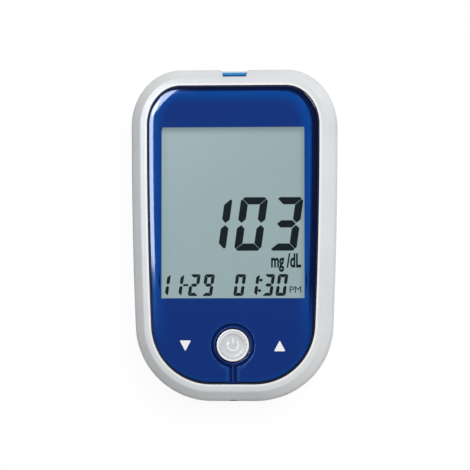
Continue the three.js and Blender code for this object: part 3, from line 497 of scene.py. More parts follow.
def lip_fall(x, y):
    """How far the top falls near the recess and the slot: LIP_FALL (1 - d / LIP)^2 over the distance d, and
    a quarter circle of radius LIP_ROUND at the very edge."""
    far = lip_distance(x, y)
    slope = LIP_FALL * (1 - np.minimum(far / LIP, 1)) ** 2
    turn = np.maximum(LIP_ROUND - far, 0)
    return slope + LIP_ROUND - np.sqrt(LIP_ROUND**2 - turn**2)


def panel_half(name, side):
    """One half of the panel. On its rounded edge, inset = ROUND (1 - cos a) and fall = DROP (1 - sin a)."""
    foot, out = panel_outer[:, :2], panel_outer[:, 2:]
    a = np.linspace(0, np.pi / 2, BEND_POINTS)
    bend = foot[:, None] - ROUND * (1 - np.cos(a))[None, :, None] * out[:, None]
    reach = panel_inner - bend[:, -1]
    length = np.linalg.norm(reach, axis=1, keepdims=True)
    near = LIP * np.array([1, 0.7, 0.4, 0.15, 0.08, 0.04, 0.012, 0])
    middle = np.linspace(0, 1, 14)[1:-1] * (length - LIP)
    place = np.concatenate([middle, length - near], 1) / length
    flat = bend[:, -1:] + place[..., None] * reach[:, None]
    top = np.concatenate([bend, flat], 1)
    height = np.full(top.shape[:2], PANEL_TOP)
    height[:, :BEND_POINTS] -= DROP * (1 - np.sin(a))
    height -= lip_fall(top[..., 0], top[..., 1])
    under = np.stack([panel_inner, bend[:, -1], foot], 1)
    level = np.concatenate([height, np.full((len(height), 3), PANEL_UNDER)], 1)
    grid = np.concatenate([np.concatenate([top, under], 1), level[..., None]], -1)
    return skin(name, grid * np.array([side, 1, 1]), smooth=40)


def write_distances(obj):
    """Writes two attributes, in millimetres. "edge" is each vertex's distance from the panel's outer line,
    made less on the right, where the painted dark reflection band along the edge is wider, and hurried
    over that band on the left, where it is narrow. Both set in evenly over ASIDE across the panel, and over
    RIGHT_UP or LEFT_UP up the page.
    "lip" is its distance from the slot or, with RECESS_SHIFT added, from the recess."""
    spot = places(obj.data)[:, :2] / MM
    right = np.interp(spot[:, 0], ASIDE, (0, 1)) * np.interp(spot[:, 1], RIGHT_UP, (0, 1))
    left = np.interp(-spot[:, 0], ASIDE, (0, 1)) * np.interp(spot[:, 1], LEFT_UP, (0, 1))
    spot[:, 0] = np.abs(spot[:, 0])
    line = np.concatenate([panel_outer[:, :2], [(0, panel_outer[-1, 1])]])
    edge = np.linalg.norm(spot[:, None] - line[None], axis=-1).min(1)
    hurried = np.maximum(edge, np.minimum(HURRY * edge, HURRY_END))
    edge = edge * (1 - RIGHT_LESS * right) + (hurried - edge) * left
    values = {"edge": edge, "lip": lip_distance(*spot.T) + RECESS_SHIFT * (spot[:, 1] > NEAR_SLOT)}
    for name, value in values.items():
        attribute = obj.data.attributes.new(name, "FLOAT", "POINT")
        attribute.data.foreach_set("value", value.astype(np.float32))


panel_left = panel_half("panel_left", -1)
panel_right = panel_half("panel_right", 1)
for half, key in ((panel_left, "down_key"), (panel_right, "up_key")):
    write_distances(half)
    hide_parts("face_panel", key)
    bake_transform(half)
    print(half.name, "faces", len(half.data.polygons))

# %% [markdown]
# Under each key stands the post that presses its snap dome, and on top lies a small silver arrow. Both
# move with the key. The post is a turned profile, and the arrow a triangle with rounded corners.

# %% Key posts and arrows
dome_top = span("power_dome")[1][2]
ARROW = (3.35, 3.15)
ARROW_Z = (PANEL_TOP - 0.04, PANEL_TOP + 0.08)
ARROW_MIDDLES = {"down_key": (-13.72, key_row - 0.13), "up_key": (13.5, key_row - 0.13)}


def plate(name, points, low, high, soft=0.0):
    """A flat outline raised from low to high. With soft, its upper edge is set in by that much."""
    points = np.asarray(points, float)
    middle = points.mean(0)
    if soft:
        size = np.abs(points - middle).max()
        shrunk = middle + (points - middle) * (1 - soft / size)
        rings = [(points, low), (points, high - soft), (shrunk, high)]
    else:
        rings = [(points, low), (points, high)]
    return skin(name, stacked(rings))


stems, arrows = [], []
for key, side, tip in (("down_key", -1, -1), ("up_key", 1, 1)):
    foot = [(0, dome_top + 0.1), (1.3, dome_top + 0.1), (1.5, dome_top + 0.3), (1.5, PANEL_UNDER - 0.4),
            (1.9, PANEL_UNDER), (1.9, PANEL_UNDER + 0.2), (0, PANEL_UNDER + 0.2)]
    stem = turned(key + "_post", foot, side * ARROW_X, key_row, 40)
    wide, tall = ARROW[0] / 2, ARROW[1] / 2
    shape = rounded([(-wide, -tall * tip, 0.4), (wide, -tall * tip, 0.4), (0, tall * tip, 0.4)])
    arrow = plate(key + "_arrow", shape + ARROW_MIDDLES[key], *ARROW_Z, soft=0.06)
    stems.append(stem)
    arrows.append(arrow)
    for made in (stem, arrow):
        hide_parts(key)
        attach(made, key)
print("arrows", ARROW, "mm")

# %% [markdown]
# ## The display
# A liquid crystal cell is two panes of glass with a film on top. The lower pane reaches further, to carry
# its contacts. The dark marks are bars with mitred ends: seven of them make any digit. Each bar is a flat
# outline, leaned over with the rest of its digit, and raised by a few hundredths of a millimetre. An image
# would be the usual way to draw them. As geometry they stay sharp at every size.

# %% Display glass
glass_low, glass_high = span("display_cell")
FILM = 0.15
PANE = 1.0
LEDGE = 2.6
film_top = glass_high[2] - 0.03


def rounded_box(x0, x1, y0, y1, radius):
    """The outline of a rectangle with rounded corners, anticlockwise."""
    return rounded([(x0, y0, radius), (x1, y0, radius), (x1, y1, radius), (x0, y1, radius)])


def sheet_of(name, inset, ledge, low, high, soft):
    """One layer of the display, set in from the glass by `inset` and from its contact edge by `ledge`."""
    shape = rounded_box(glass_low[0] + inset, glass_high[0] - inset, glass_low[1] + inset + ledge,
                        glass_high[1] - inset, 0.3)
    return plate(name, shape, low, high, soft)


layers = [
    sheet_of("display_back_glass", 0.0, 0.0, glass_low[2], glass_low[2] + PANE, 0.05),
    sheet_of("display_front_glass", 0.0, LEDGE, glass_low[2] + PANE, film_top - FILM, 0.05),
    sheet_of("display_film", 0.25, LEDGE, film_top - FILM, film_top, 0.03),
]
for layer in layers:
    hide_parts("display_cell")
    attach(layer, "case")
print("display layers", [layer.name for layer in layers])

# %% Display digits
LEAN_SHARE = 0.14
MARK_Z = (film_top - 0.02, film_top + 0.025)
BARS = {"0": "abcdef", "1": "bc", "2": "abged", "3": "abgcd", "9": "abcdfg"}


def bar_outlines(width, height, upright, level, gap, split, cut):
    """Outlines of the seven bars of a digit about its middle, before it leans. The corners are parted along
    the line from the outer corner to the inner one by `gap`, and cut off by `cut`. Upper and lower bars
    end in points that are `split` away from the middle line."""
    a, b, s, t = width / 2, height / 2, upright, level / 2
    top = [(-a + cut + gap, b), (a - cut - gap, b), (a - cut / 2, b - cut / 2), (a - s - gap, b - level),
           (-a + s + gap, b - level), (-a + cut / 2, b - cut / 2)]
    middle = [(-a + s / 2 + gap, 0), (-a + s + gap, t), (a - s - gap, t), (a - s / 2 - gap, 0),
              (a - s - gap, -t), (-a + s + gap, -t)]
    side = [(a, b - cut - gap), (a, split + 0.42 * s), (a - s / 2, split), (a - s, split + 0.48 * s),
            (a - s, b - level - gap), (a - cut / 2, b - cut / 2 - gap)]

    def flip(shape, x, y):
        """The shape, mirrored where x or y is -1."""
        return [(x * px, y * py) for px, py in shape]

    return {"a": top, "b": side, "c": flip(side, 1, -1), "d": flip(top, 1, -1), "e": flip(side, -1, -1),
            "f": flip(side, -1, 1), "g": middle}


def raised_mark(name, outline, x, y, round_off):
    """An outline leaned over by LEAN_SHARE of its height, moved to x, y and raised on the film."""
    shape = rounded([(px, py, round_off) for px, py in outline], steps=4)
    shape = shape + np.c_[x + LEAN_SHARE * shape[:, 1], np.full(len(shape), y)]
    return plate(name, shape, *MARK_Z)


def digits(text, centres, y, size, strokes, parting, round_off):
    """Raised bars for each character of text at its centre. parting is the gap, the split and the cut."""
    bars = bar_outlines(*size, *strokes, *parting)
    return [raised_mark("bar", bars[bar], x, y, round_off) for mark, x in zip(text, centres)
            for bar in BARS[mark]]


# Row, size, widths of the strokes, parting and rounding of the large digits and of the small ones.
READING = (3.15, (7.85, 15.5), (2.2, 2.1), (0.09, 0.3, 0.95), 0.16)
SMALL_ROW = -14.5
SMALL = (SMALL_ROW, (2.95, 6.3), (0.95, 0.92), (0.04, 0.16, 0.35), 0.1)
DASH = [(-0.75, -0.3), (0.75, -0.3), (0.75, 0.3), (-0.75, 0.3)]
COLON_X, COLON_RADII = 7.72, (0.5, 0.42)
reading = digits("103", (-5.25, 5.07, 15.28), *READING)
small = digits("11290130", (-20.1, -16.2, -11.42, -7.3, 1.77, 5.72, 10.12, 13.95), *SMALL)
small.append(raised_mark("dash", DASH, -13.9, SMALL_ROW, 0.1))
a = np.linspace(0, 2 * np.pi, 24, endpoint=False)
for dot_y in (-13.1, -16.1):
    middle = [COLON_X + LEAN_SHARE * (dot_y - SMALL_ROW), dot_y]
    small.append(plate("dot", COLON_RADII * np.stack([np.cos(a), np.sin(a)], -1) + middle, *MARK_Z))
print("bars", len(reading), "and", len(small))

# %% [markdown]
# The unit and the half of the day are small words. A text object is turned into a mesh and scaled, as a
# mesh, to the width and height that it has on the display.

# %% Display words


def word(name, text, x0, x1, y0, y1, weight=0.0):
    """Text as a raised mesh that fills the box from x0, y0 to x1, y1. Its faces agree already, and strokes
    that cross, as in a heavy letter, would confuse them."""
    font = bpy.data.curves.new(name, "FONT")
    font.body = text
    font.size = 1
    font.offset = weight
    font.extrude = 0.05
    font.resolution_u = 4
    carrier = linked(name, font)
    mesh = applied(carrier)
    bpy.data.objects.remove(carrier)
    spot = places(mesh)
    low, high = spot.min(0), spot.max(0)
    share = (spot - low) / (high - low)
    aim_low, aim_high = np.array([x0, y0, MARK_Z[0]]), np.array([x1, y1, MARK_Z[1]])
    faces = [list(polygon.vertices) for polygon in mesh.polygons]
    return piece(name, aim_low + share * (aim_high - aim_low), faces, agree=False)


small.append(word("unit", "mg /dL", 10.85, 19.55, -10.75, -5.3, 0.034))
small.append(word("half_day", "PM", 16.2, 19.55, -16.75, -14.9))
reading = joined("display_reading", reading)
small = joined("display_small_marks", small)
for marks in (reading, small):
    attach(marks, "case")
print("faces of the marks", len(reading.data.polygons) + len(small.data.polygons))

# %% [markdown]
# ## Power button and its surround
# The button is a turned cap with a shallow dish. Its bezel, a ring of its own round the dish, is near-white:
# a painted highlight, and the power symbol stands in the dish. Around the button lies a lipped ring, and a
# rib runs from there down the slot between the keys. All are profiles carried round or along a line.

# %% Power button
button_top = PANEL_TOP + 0.4
button_face = button_top - 0.35
flange_high = well_top - DECK - 0.3
button_profile = rounded([
    (0.001, dome_top + 0.1, 0), (1.3, dome_top + 0.1, 0.2), (1.5, dome_top + 0.4, 0.2),
    (1.5, flange_high - 1.2, 0.1), (5.8, flange_high - 1.2, 0.25), (5.8, flange_high, 0.25),
    (BUTTON_RADIUS, flange_high, 0.1), (BUTTON_RADIUS, button_top - 0.5, 0.05),
    (BUTTON_RADIUS - 0.6, button_top - 0.5, 0.05), (BUTTON_RADIUS - 0.62, button_top - 0.28, 0.08),
    (BUTTON_RADIUS - 0.86, button_top - 0.22, 0.1), (BUTTON_RADIUS - 1.0, button_top - 0.06, 0.12),
    (BUTTON_RADIUS - 1.3, button_top - 0.08, 0.15), (BUTTON_RADIUS - 1.75, button_face, 0.25),
    (0.001, button_face - 0.06, 0),
], closed=False)
button = turned("button_cap", button_profile, 0, key_row, 96, smooth=40)
bezel_profile = rounded([
    (BUTTON_RADIUS, button_top - 0.48, 0.03), (BUTTON_RADIUS, button_top, 0.25),
    (BUTTON_RADIUS - 0.6, button_top, 0.18), (BUTTON_RADIUS - 0.6, button_top - 0.48, 0.03),
])
bezel = turned("button_bezel", bezel_profile, 0, key_row, 96, wrap_rows=True)
arc = np.radians(90 + np.linspace(50, 310, 60))
loop_line = 1.55 * np.stack([np.cos(arc), np.sin(arc)], -1)


def stroke(name, line, width, low, high):
    """A raised line of the given width along a path on the page, with round ends and a softened top. The
    section is set out along the path's normal, and the ends follow a half circle."""
    line = np.asarray(line, float)
    ahead = np.gradient(line, axis=0)
    ahead /= np.linalg.norm(ahead, axis=1, keepdims=True)
    across = np.stack([-ahead[:, 1], ahead[:, 0]], -1) * width / 2
    turn = np.linspace(0, np.pi, 9)[1:-1, None]
    tail = line[-1] + across[-1] * np.cos(turn) + ahead[-1] * width / 2 * np.sin(turn)
    nose = line[0] - across[0] * np.cos(turn) - ahead[0] * width / 2 * np.sin(turn)
    outline = np.concatenate([line + across, tail, (line - across)[::-1], nose])
    middle = np.concatenate([line, np.repeat(line[-1:], 7, 0), line[::-1], np.repeat(line[:1], 7, 0)])
    rings = [(1.0, low), (1.0, high - 0.07), (0.86, high - 0.02), (0.6, high)]
    grid = stacked([(middle + (outline - middle) * share, z) for share, z in rings])
    return skin(name, grid, smooth=50)


mark_z = (button_face - 0.15, button_face + 0.12)
loop = stroke("symbol_loop", loop_line + [0, key_row], 0.45, *mark_z)
bar_line = np.c_[np.zeros(12), np.linspace(key_row + 0.45, key_row + 1.7, 12)]
power_bar = stroke("symbol_bar", bar_line, 0.45, *mark_z)
symbol = joined("button_symbol", [loop, power_bar])
for made in (button, bezel, symbol):
    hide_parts("power_button")
    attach(made, "power_button")
print("button faces", len(button.data.polygons))

# %% Button surround
ring_in, ring_out = BUTTON_RADIUS + 0.3, RECESS_RADIUS - 0.12
ring_foot, ring_shelf, ring_lip = well_top + 0.1, PANEL_TOP - 1.3, PANEL_TOP - 0.3
ring_profile = rounded([
    (ring_in, ring_foot, 0.03), (ring_out, ring_foot, 0.05), (ring_out, ring_shelf, 0.1),
    (ring_in + 0.45, ring_lip, 0.03), (ring_in + 0.25, ring_lip + 0.02, 0.12),
    (ring_in, ring_lip - 0.5, 0.2),
])
surround = turned("surround_ring", ring_profile, 0, key_row, 96, wrap_rows=True)
rib_foot = -HALF_LENGTH + PANEL_INSET
rib_section = rounded([(-0.36, ring_foot, 0.02), (0.36, ring_foot, 0.02), (0.36, ring_shelf + 0.4, 0.25),
                       (-0.36, ring_shelf + 0.4, 0.25)])
rib_y = np.array([rib_foot, rib_foot + 0.1, rib_foot + 0.35, rib_foot + 0.8, key_row - ring_in - 0.4])
rib_fall = np.array([0.55, 0.3, 0.1, 0.0, 0.0])
rib_grid = stacked([(np.maximum(rib_section - [0, fall], [-1, ring_foot]), y)
                    for y, fall in zip(rib_y, rib_fall)])
rib = skin("surround_rib", rib_grid[..., LAID], smooth=50)
for made in (surround, rib):
    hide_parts("button_surround")
    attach(made, "case")
print("surround faces", len(surround.data.polygons) + len(rib.data.polygons))

# %% [markdown]
# ## Snap domes
# Under each of the three keys lies a snap dome, a thin steel shell that gives the click. Its section is
# half an ellipse inside another, turned about the upright axis. Posed as a rigid piece it would stand
# through the post that presses it as its key goes down.

# %% Snap domes
DOME_SHEET = 0.12
domes = []
for name, joint, keep in (("power_dome", "power_button_press", 0.12), ("down_dome", "down_key_press", 0.3),
                          ("up_dome", "up_key_press", 0.3)):
    low, high = span(name)
    middle, radius, rise = (low + high) / 2, (high[0] - low[0]) / 2, high[2] - low[2]
    a = np.linspace(0.0005, np.pi / 2, 16)
    shells = [np.stack([(radius - inset) * np.sin(a), low[2] + (rise - inset) * np.cos(a)], -1)
              for inset in (0, DOME_SHEET)]
    dome = turned("snap_" + name, np.r_[shells[0], shells[1][::-1]], middle[0], middle[1], 48)
    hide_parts(name)
    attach(dome, "case")
    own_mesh(dome)
    domes.append(dome)
print("domes", [dome.name for dome in domes], "rise", round(rise, 2), "mm")

# %% [markdown]
# ## Strip port
# The test strip goes in at the blue port in the notch of the rim. It is a small block with a flared slot.
# Its edges are rounded by a Bevel modifier after the slot is cut, because that is where the eye sees them.

# %% Strip port
slot_half, slot_low = 2.9, port_low[2] + 1.3
port = block(port_low[0], port_high[0], port_low[1], port_high[1], port_low[2], port_high[2])
port.name = "port_block"
slot_grid = stacked([
    (rounded_box(-slot_half - out / 2, slot_half + out / 2, slot_low - out, slot_low + 1 + out, 0.2), y)
    for y, out in ((port_high[1] + 0.1, 0.5), (port_high[1] - 1, 0), (port_low[1] - 1, 0))])
carve(port, skin("slot", slot_grid[..., LAID]))
soften(port, 0.28, 3)
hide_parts("strip_port")
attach(port, "case")
print("port faces", len(port.data.polygons))

# %% [markdown]
# ## Rear housing
# The back of the case is a rounded tray. Its section is a superellipse: fuller than a quarter circle, so
# the back stays flat far out and then turns up quickly. The outside and the inside are one profile carried
# round the outline, and the battery bay, its door pocket and the screw holes are added and cut by Booleans,
# as they would be cut in the mould.

# %% Rear housing: the tray
BACK_WALL = 1.8
BACK_ROUND = 9.0
FULLNESS = 2.8
seam_low = SEAM - SEAM_GAP / 2


def back_curve(wall, start, steps=16):
    """(inset, height) along the superellipse, from the seam down: inset = wall + w (1 - cos(a)^(2/n)),
    height = wall + h (1 - sin(a)^(2/n))."""
    a = np.linspace(start, np.pi / 2, steps)
    power = 2 / FULLNESS
    inset = wall + (BACK_ROUND - wall) * (1 - np.maximum(np.cos(a), 0) ** power)
    return np.stack([inset, wall + (seam_low - wall) * (1 - np.sin(a) ** power)], -1)


outside = back_curve(0, 0.03, 22)[::-1]
inside = back_curve(BACK_WALL, 0.055)
tray_profile = np.concatenate([
    outside, [(0.0, seam_low - 0.25), (0.08, seam_low - 0.07), (0.25, seam_low), (0.95, seam_low),
              (0.95, SEAM - 1.5), (BACK_WALL, SEAM - 1.5)], inside,
])
tray = skin("tray", loft(tray_profile), smooth=30)
print("tray faces", len(tray.data.polygons))

# %% Rear housing: bay, pocket and holes
door_high = span("battery_door")[1]
door_x, door_y0, door_y1 = door_high[0], joints["battery_door_swing"]["pos_m"][1] / MM, door_high[1]
bay_x, bay_y0, bay_y1, bay_roof = 11.1, -34.76, 19.34, 12.9
SCREWS = {name: span("case_screw_" + name) for name in ("top_left", "top_right", "key_left", "key_right")}
screw_at = {name: ((low + high) / 2)[:2] for name, (low, high) in SCREWS.items()}
HOOK_MIDDLES = (-7, 7)
BAY_WALL = 1
STANDOFFS = [(x, y) for x in (-24, 24) for y in (-12, 12)]
DIVIDER = (13.94, 14.94)
DOOR_GAP, PAD_EDGE = 0.3, 1.3
SCOOP_RADIUS, SCOOP_DEPTH = 12, 1.1


def slab(x0, x1, y0, y1, radius, z0, z1):
    """A plate with rounded corners, used to cut or to add."""
    return plate("slab", rounded_box(x0, x1, y0, y1, radius), z0, z1)


def door_slab(edge, radius, z0, z1):
    """A slab that reaches past the door by `edge` all round."""
    return slab(-door_x - edge, door_x + edge, door_y0 - edge, door_y1 + edge, radius, z0, z1)


added = [block(-bay_x - BAY_WALL, bay_x + BAY_WALL, bay_y0 - BAY_WALL, bay_y1 + BAY_WALL, 0.9,
               bay_roof + BAY_WALL)]
added += [post(x, y, 1.5, 0.9, 14.2, 24) for x, y in STANDOFFS]
bosses = joined("bosses", [post(*at, 3.6, 2.4, 11.0, 40) for at in screw_at.values()])
limit = skin("limit", loft(np.concatenate([outside, [(0.5, seam_low), (0.5, seam_low + 2)]])))
carve(bosses, limit, operation="INTERSECT")
added.append(bosses)
carve(tray, joined("added", added), operation="UNION")
carve(tray, door_slab(PAD_EDGE, 3.8, 0.9, 2.9), operation="UNION")
holes = [block(-bay_x, bay_x, bay_y0, bay_y1, -1, bay_roof)]
holes += [turned("bore", [(2.9, -1), (2.9, 0), (2.6, 0.32), (2.6, 6), (1.25, 6), (1.25, 12)], *at, 48)
          for at in screw_at.values()]
holes += [block(x - 2.3, x + 2.3, door_y0 - 2.6, door_y0 + 3.6, 2.2, 7.5) for x in HOOK_MIDDLES]
carve(tray, joined("holes", holes))
carve(tray, *[block(x - 2.25, x + 2.25, door_y0 - 0.25, door_y0 + 3.55, 1.7, 3) for x in HOOK_MIDDLES])
divider = block(-bay_x - 0.1, bay_x + 0.1, *DIVIDER, 2.1, bay_roof + 0.1)
carve(tray, divider, operation="UNION")
carve(tray, door_slab(DOOR_GAP, 2.8, -1, 1.9))
a = np.linspace(0.002, np.pi - 0.002, 41)
ball = np.stack([SCOOP_RADIUS * np.sin(a), SCOOP_DEPTH - SCOOP_RADIUS + SCOOP_RADIUS * np.cos(a)], -1)
carve(tray, turned("scoop", ball, 0, door_y1 + 2.5, 80))
soften(tray, 0.15, 2, 50)
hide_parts("rear_housing")
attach(tray, "case")
print("tray faces", len(tray.data.polygons))

# %% [markdown]
# ## Battery door
# The door is a thin plate that hooks in at one end and snaps in at the other. Its outer edge is rounded,
# four ridges give the thumb a grip, and a blank label lies in a shallow recess. The latch is a leaf that
# rises, folds over and comes down again, so that it can bend: one outline carried across.

# %% Battery door
door_skin, door_inside = 0.3, 1.8
label_low, label_high = span("door_label")
latch_low, latch_high = span("door_latch")


def set_in(outline, inset):
    """A copy of a convex outline, set in by `inset` along its normals."""
    ahead = np.roll(outline, -1, 0) - np.roll(outline, 1, 0)
    out = np.stack([ahead[:, 1], -ahead[:, 0]], -1) / np.linalg.norm(ahead, axis=1, keepdims=True)
    return outline - inset * out


def carried(name, path, x0, x1):
    """A closed path of (y, z) points carried across from x0 to x1."""
    return skin(name, stacked([(path, x0), (path, x1)])[..., [2, 0, 1]])


door_edge = rounded_box(-door_x, door_x, door_y0, door_y1, 2.5)
door_rings = ((0.45, door_skin), (0.2, door_skin + 0.05), (0.06, door_skin + 0.18), (0, door_skin + 0.42),
              (0, door_inside - 0.1), (0.1, door_inside))
door = skin("door_plate", stacked([(set_in(door_edge, inset), z) for inset, z in door_rings]))
label_x0, label_y0, label_x1, label_y1 = *(label_low[:2] - 0.1), *(label_high[:2] + 0.1)
carve(door, slab(label_x0, label_x1, label_y0, label_y1, 0.6, -1, 0.6))
carve(door, block(-4.3, 4.3, latch_low[1] + 1.1, door_y1 + 1, -1, 3))
hook_path = rounded([(door_y0 + 1.6, 1.7, 0), (door_y0 + 1.6, 3.4, 0.5), (door_y0 - 2.1, 3.4, 0.3),
                     (door_y0 - 2.3, 2.95, 0.2), (door_y0 - 2.1, 2.5, 0.2), (door_y0, 2.5, 0.3),
                     (door_y0 + 0.05, 1.7, 0)])
hooks = [carried("hook", hook_path, x - 2, x + 2) for x in HOOK_MIDDLES]
carve(door, joined("hooks", hooks), operation="UNION")
RIDGES, RIDGE_PITCH = 4, 1.3
RIDGE_HALF, RIDGE_HEIGHT = 0.33, 0.27
t = np.linspace(0, np.pi, 9)
ridge_x = np.array([-6, -5.85, -5.5, 5.5, 5.85, 6])
swell = np.array([0.15, 0.7, 1, 1, 0.7, 0.15])[:, None]
ridges = []
for k in range(RIDGES):
    y = latch_low[1] - 4.5 - RIDGE_PITCH * k + 0.25
    grid = np.stack([np.broadcast_to(ridge_x[:, None], (6, 9)), y + RIDGE_HALF * swell * np.cos(t),
                     door_skin + 0.05 - RIDGE_HEIGHT * swell * np.sin(t)], -1)
    ridges.append(skin("ridge", grid, smooth=60))
ridges = joined("door_ridges", ridges)
for made in (door, ridges):
    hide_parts("battery_door")
    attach(made, "battery_door")
print("door faces", len(door.data.polygons), "ridges", len(ridges.data.polygons))

# %% Battery door: latch and label
first, second = latch_low[1], latch_high[1] - 1.8
top, pad_top = latch_high[2], door_inside - 0.1
leaf_path = rounded([
    (first, door_inside + 0.1, 0.1), (first, top, 1.3), (second + 0.8, top, 1.3), (second + 0.8, 4.2, 0.1),
    (second + 1.8, 4.0, 0.25), (second + 1.8, 3.45, 0.2), (second + 0.8, 3.1, 0.1),
    (second + 0.8, pad_top, 0.3), (second + 1.8, pad_top, 0.2), (second + 1.8, door_skin, 0.4),
    (second - 0.8, door_skin, 0.3), (second - 0.8, pad_top, 0.2), (second, pad_top, 0.3),
    (second, top - 0.8, 0.6), (first + 0.8, top - 0.8, 0.6), (first + 0.8, door_inside + 0.1, 0.1),
])
latch = carried("latch_leaf", leaf_path, -4, 4)
soften(latch, 0.12, 2, 50)
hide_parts("door_latch")
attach(latch, "battery_door")
label_shape = rounded_box(label_low[0], label_high[0], label_low[1], label_high[1], 0.6)
label = plate("label_film", label_shape, label_low[2], label_high[2])
soften(label, 0.03, 1, 50)
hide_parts("door_label")
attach(label, "battery_door")
print("latch faces", len(leaf_path) + 2)

# %% [markdown]
# ## Cells, springs and screws
# They show when the battery door is open, or in their holes in the back. A cell is a turned profile laid
# along the meter, a spring is a round section carried along a cone's helix, and a screw head is a shallow
# dome with a cross cut in it.

# %% Cells
CELL = 10.5


def laid(name, profile, x, low, direction, z):
    """A profile of (radius, distance) turned about a line along Y, from its low end or its high end."""
    radius, run = profile.T
    y = low + run if direction > 0 else low + run.max() - run
    return skin(name, turned_grid(np.c_[radius, y], x, z, 64)[..., LAID], smooth=35)


r = CELL / 2
cell_profile = rounded([
    (0.001, 0.12, 0), (3.1, 0.12, 0.2), (3.4, 0.0, 0.1), (r - 0.7, 0.0, 0.2), (r - 0.12, 0.05, 0.25),
    (r, 0.75, 0.2), (r, 42.9, 0.2), (r - 0.12, 43.62, 0.25), (r - 0.9, 43.7, 0.2), (r - 1.3, 43.45, 0.15),
    (2.3, 43.45, 0.15), (1.95, 43.7, 0.15), (1.85, 44.45, 0.2), (0.001, 44.5, 0),
], closed=False, steps=5)
cells = []
for side, direction in (("left", 1), ("right", -1)):
    low, high = span("battery_cell_" + side)
    middle = (low + high) / 2
    cell = laid("cell_" + side, cell_profile, middle[0], low[1], direction, middle[2])
    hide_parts("battery_cell_" + side)
    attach(cell, "case")
    cells.append(cell)
print("cell faces", [len(cell.data.polygons) for cell in cells])

# %% Springs
WIRE = 0.25
COIL_RADII = (3.4, 1.7)
COIL_TURNS = 2.5
coil_x, coil_z = (CELL + 0.4) / 2, middle[2]


def spring(end, direction):
    """A wire of round section along a helix whose radius shrinks from one end to the other: the point at
    angle a lies at R(a) (cos a, sin a), and R and the height change evenly with a."""
    low, high = span("spring_" + end)
    a = np.linspace(0, COIL_TURNS * 2 * np.pi, 121)
    radius = np.interp(a, [0, a[-1]], COIL_RADII)
    y = np.interp(a, [0, a[-1]], (low[1] + WIRE, high[1] - WIRE)[::direction])
    b = np.linspace(0, 2 * np.pi, 12, endpoint=False)
    reach = radius[:, None] + WIRE * np.cos(b)
    grid = np.stack([-direction * coil_x + reach * np.cos(a)[:, None], y[:, None] + WIRE * np.sin(b),
                     coil_z + reach * np.sin(a)[:, None]], -1)
    coil = skin("coil_" + end, grid, smooth=60)
    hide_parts("spring_" + end)
    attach(coil, "case")
    return coil


coils = [spring("key_end", 1), spring("strip_end", -1)]
print("spring faces", [len(coil.data.polygons) for coil in coils])

# %% Screws
CROSS_HALF, CROSS_LINE = 1.35, 0.3
head_profile = rounded([
    (0.001, 4.3, 0), (1.2, 4.34, 0.3), (1.95, 4.6, 0.3), (2.2, 5.1, 0.15), (2.2, 5.9, 0.1), (0.85, 5.9, 0.1),
    (0.85, 15.0, 0.1), (0.001, 15.9, 0),
], closed=False)
screws = []
for name, (x, y) in screw_at.items():
    screw = turned("screw_" + name, head_profile + [0, 0.1], x, y, 48)
    for half_x, half_y in ((CROSS_HALF, CROSS_LINE), (CROSS_LINE, CROSS_HALF)):
        carve(screw, block(x - half_x, x + half_x, y - half_y, y + half_y, 3, 5.2))
    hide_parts("case_screw_" + name)
    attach(screw, "case")
    screws.append(screw)
print("screws", len(screws))

# %% [markdown]
# ## Finishes
# Each finish is a Principled shader whose colour, roughness and bump vary a little, at the scale at which
# the real finish does. The patterns read Object coordinates, which are metres here, so a noise of scale
# 4000 has grains of a quarter of a millimetre.

# %% Finish helpers
FINISHES = {}
PATCHES = (0.35, 0.65)
NOISE_LOW, NOISE_HIGH = 0.3, 0.7


def linear(*rgb):
    """An sRGB colour, 0 to 255, as the linear values that a shader takes."""
    share = np.array(rgb) / 255
    return tuple(np.where(share <= 0.04045, share / 12.92, ((share + 0.055) / 1.055) ** 2.4)) + (1.0,)


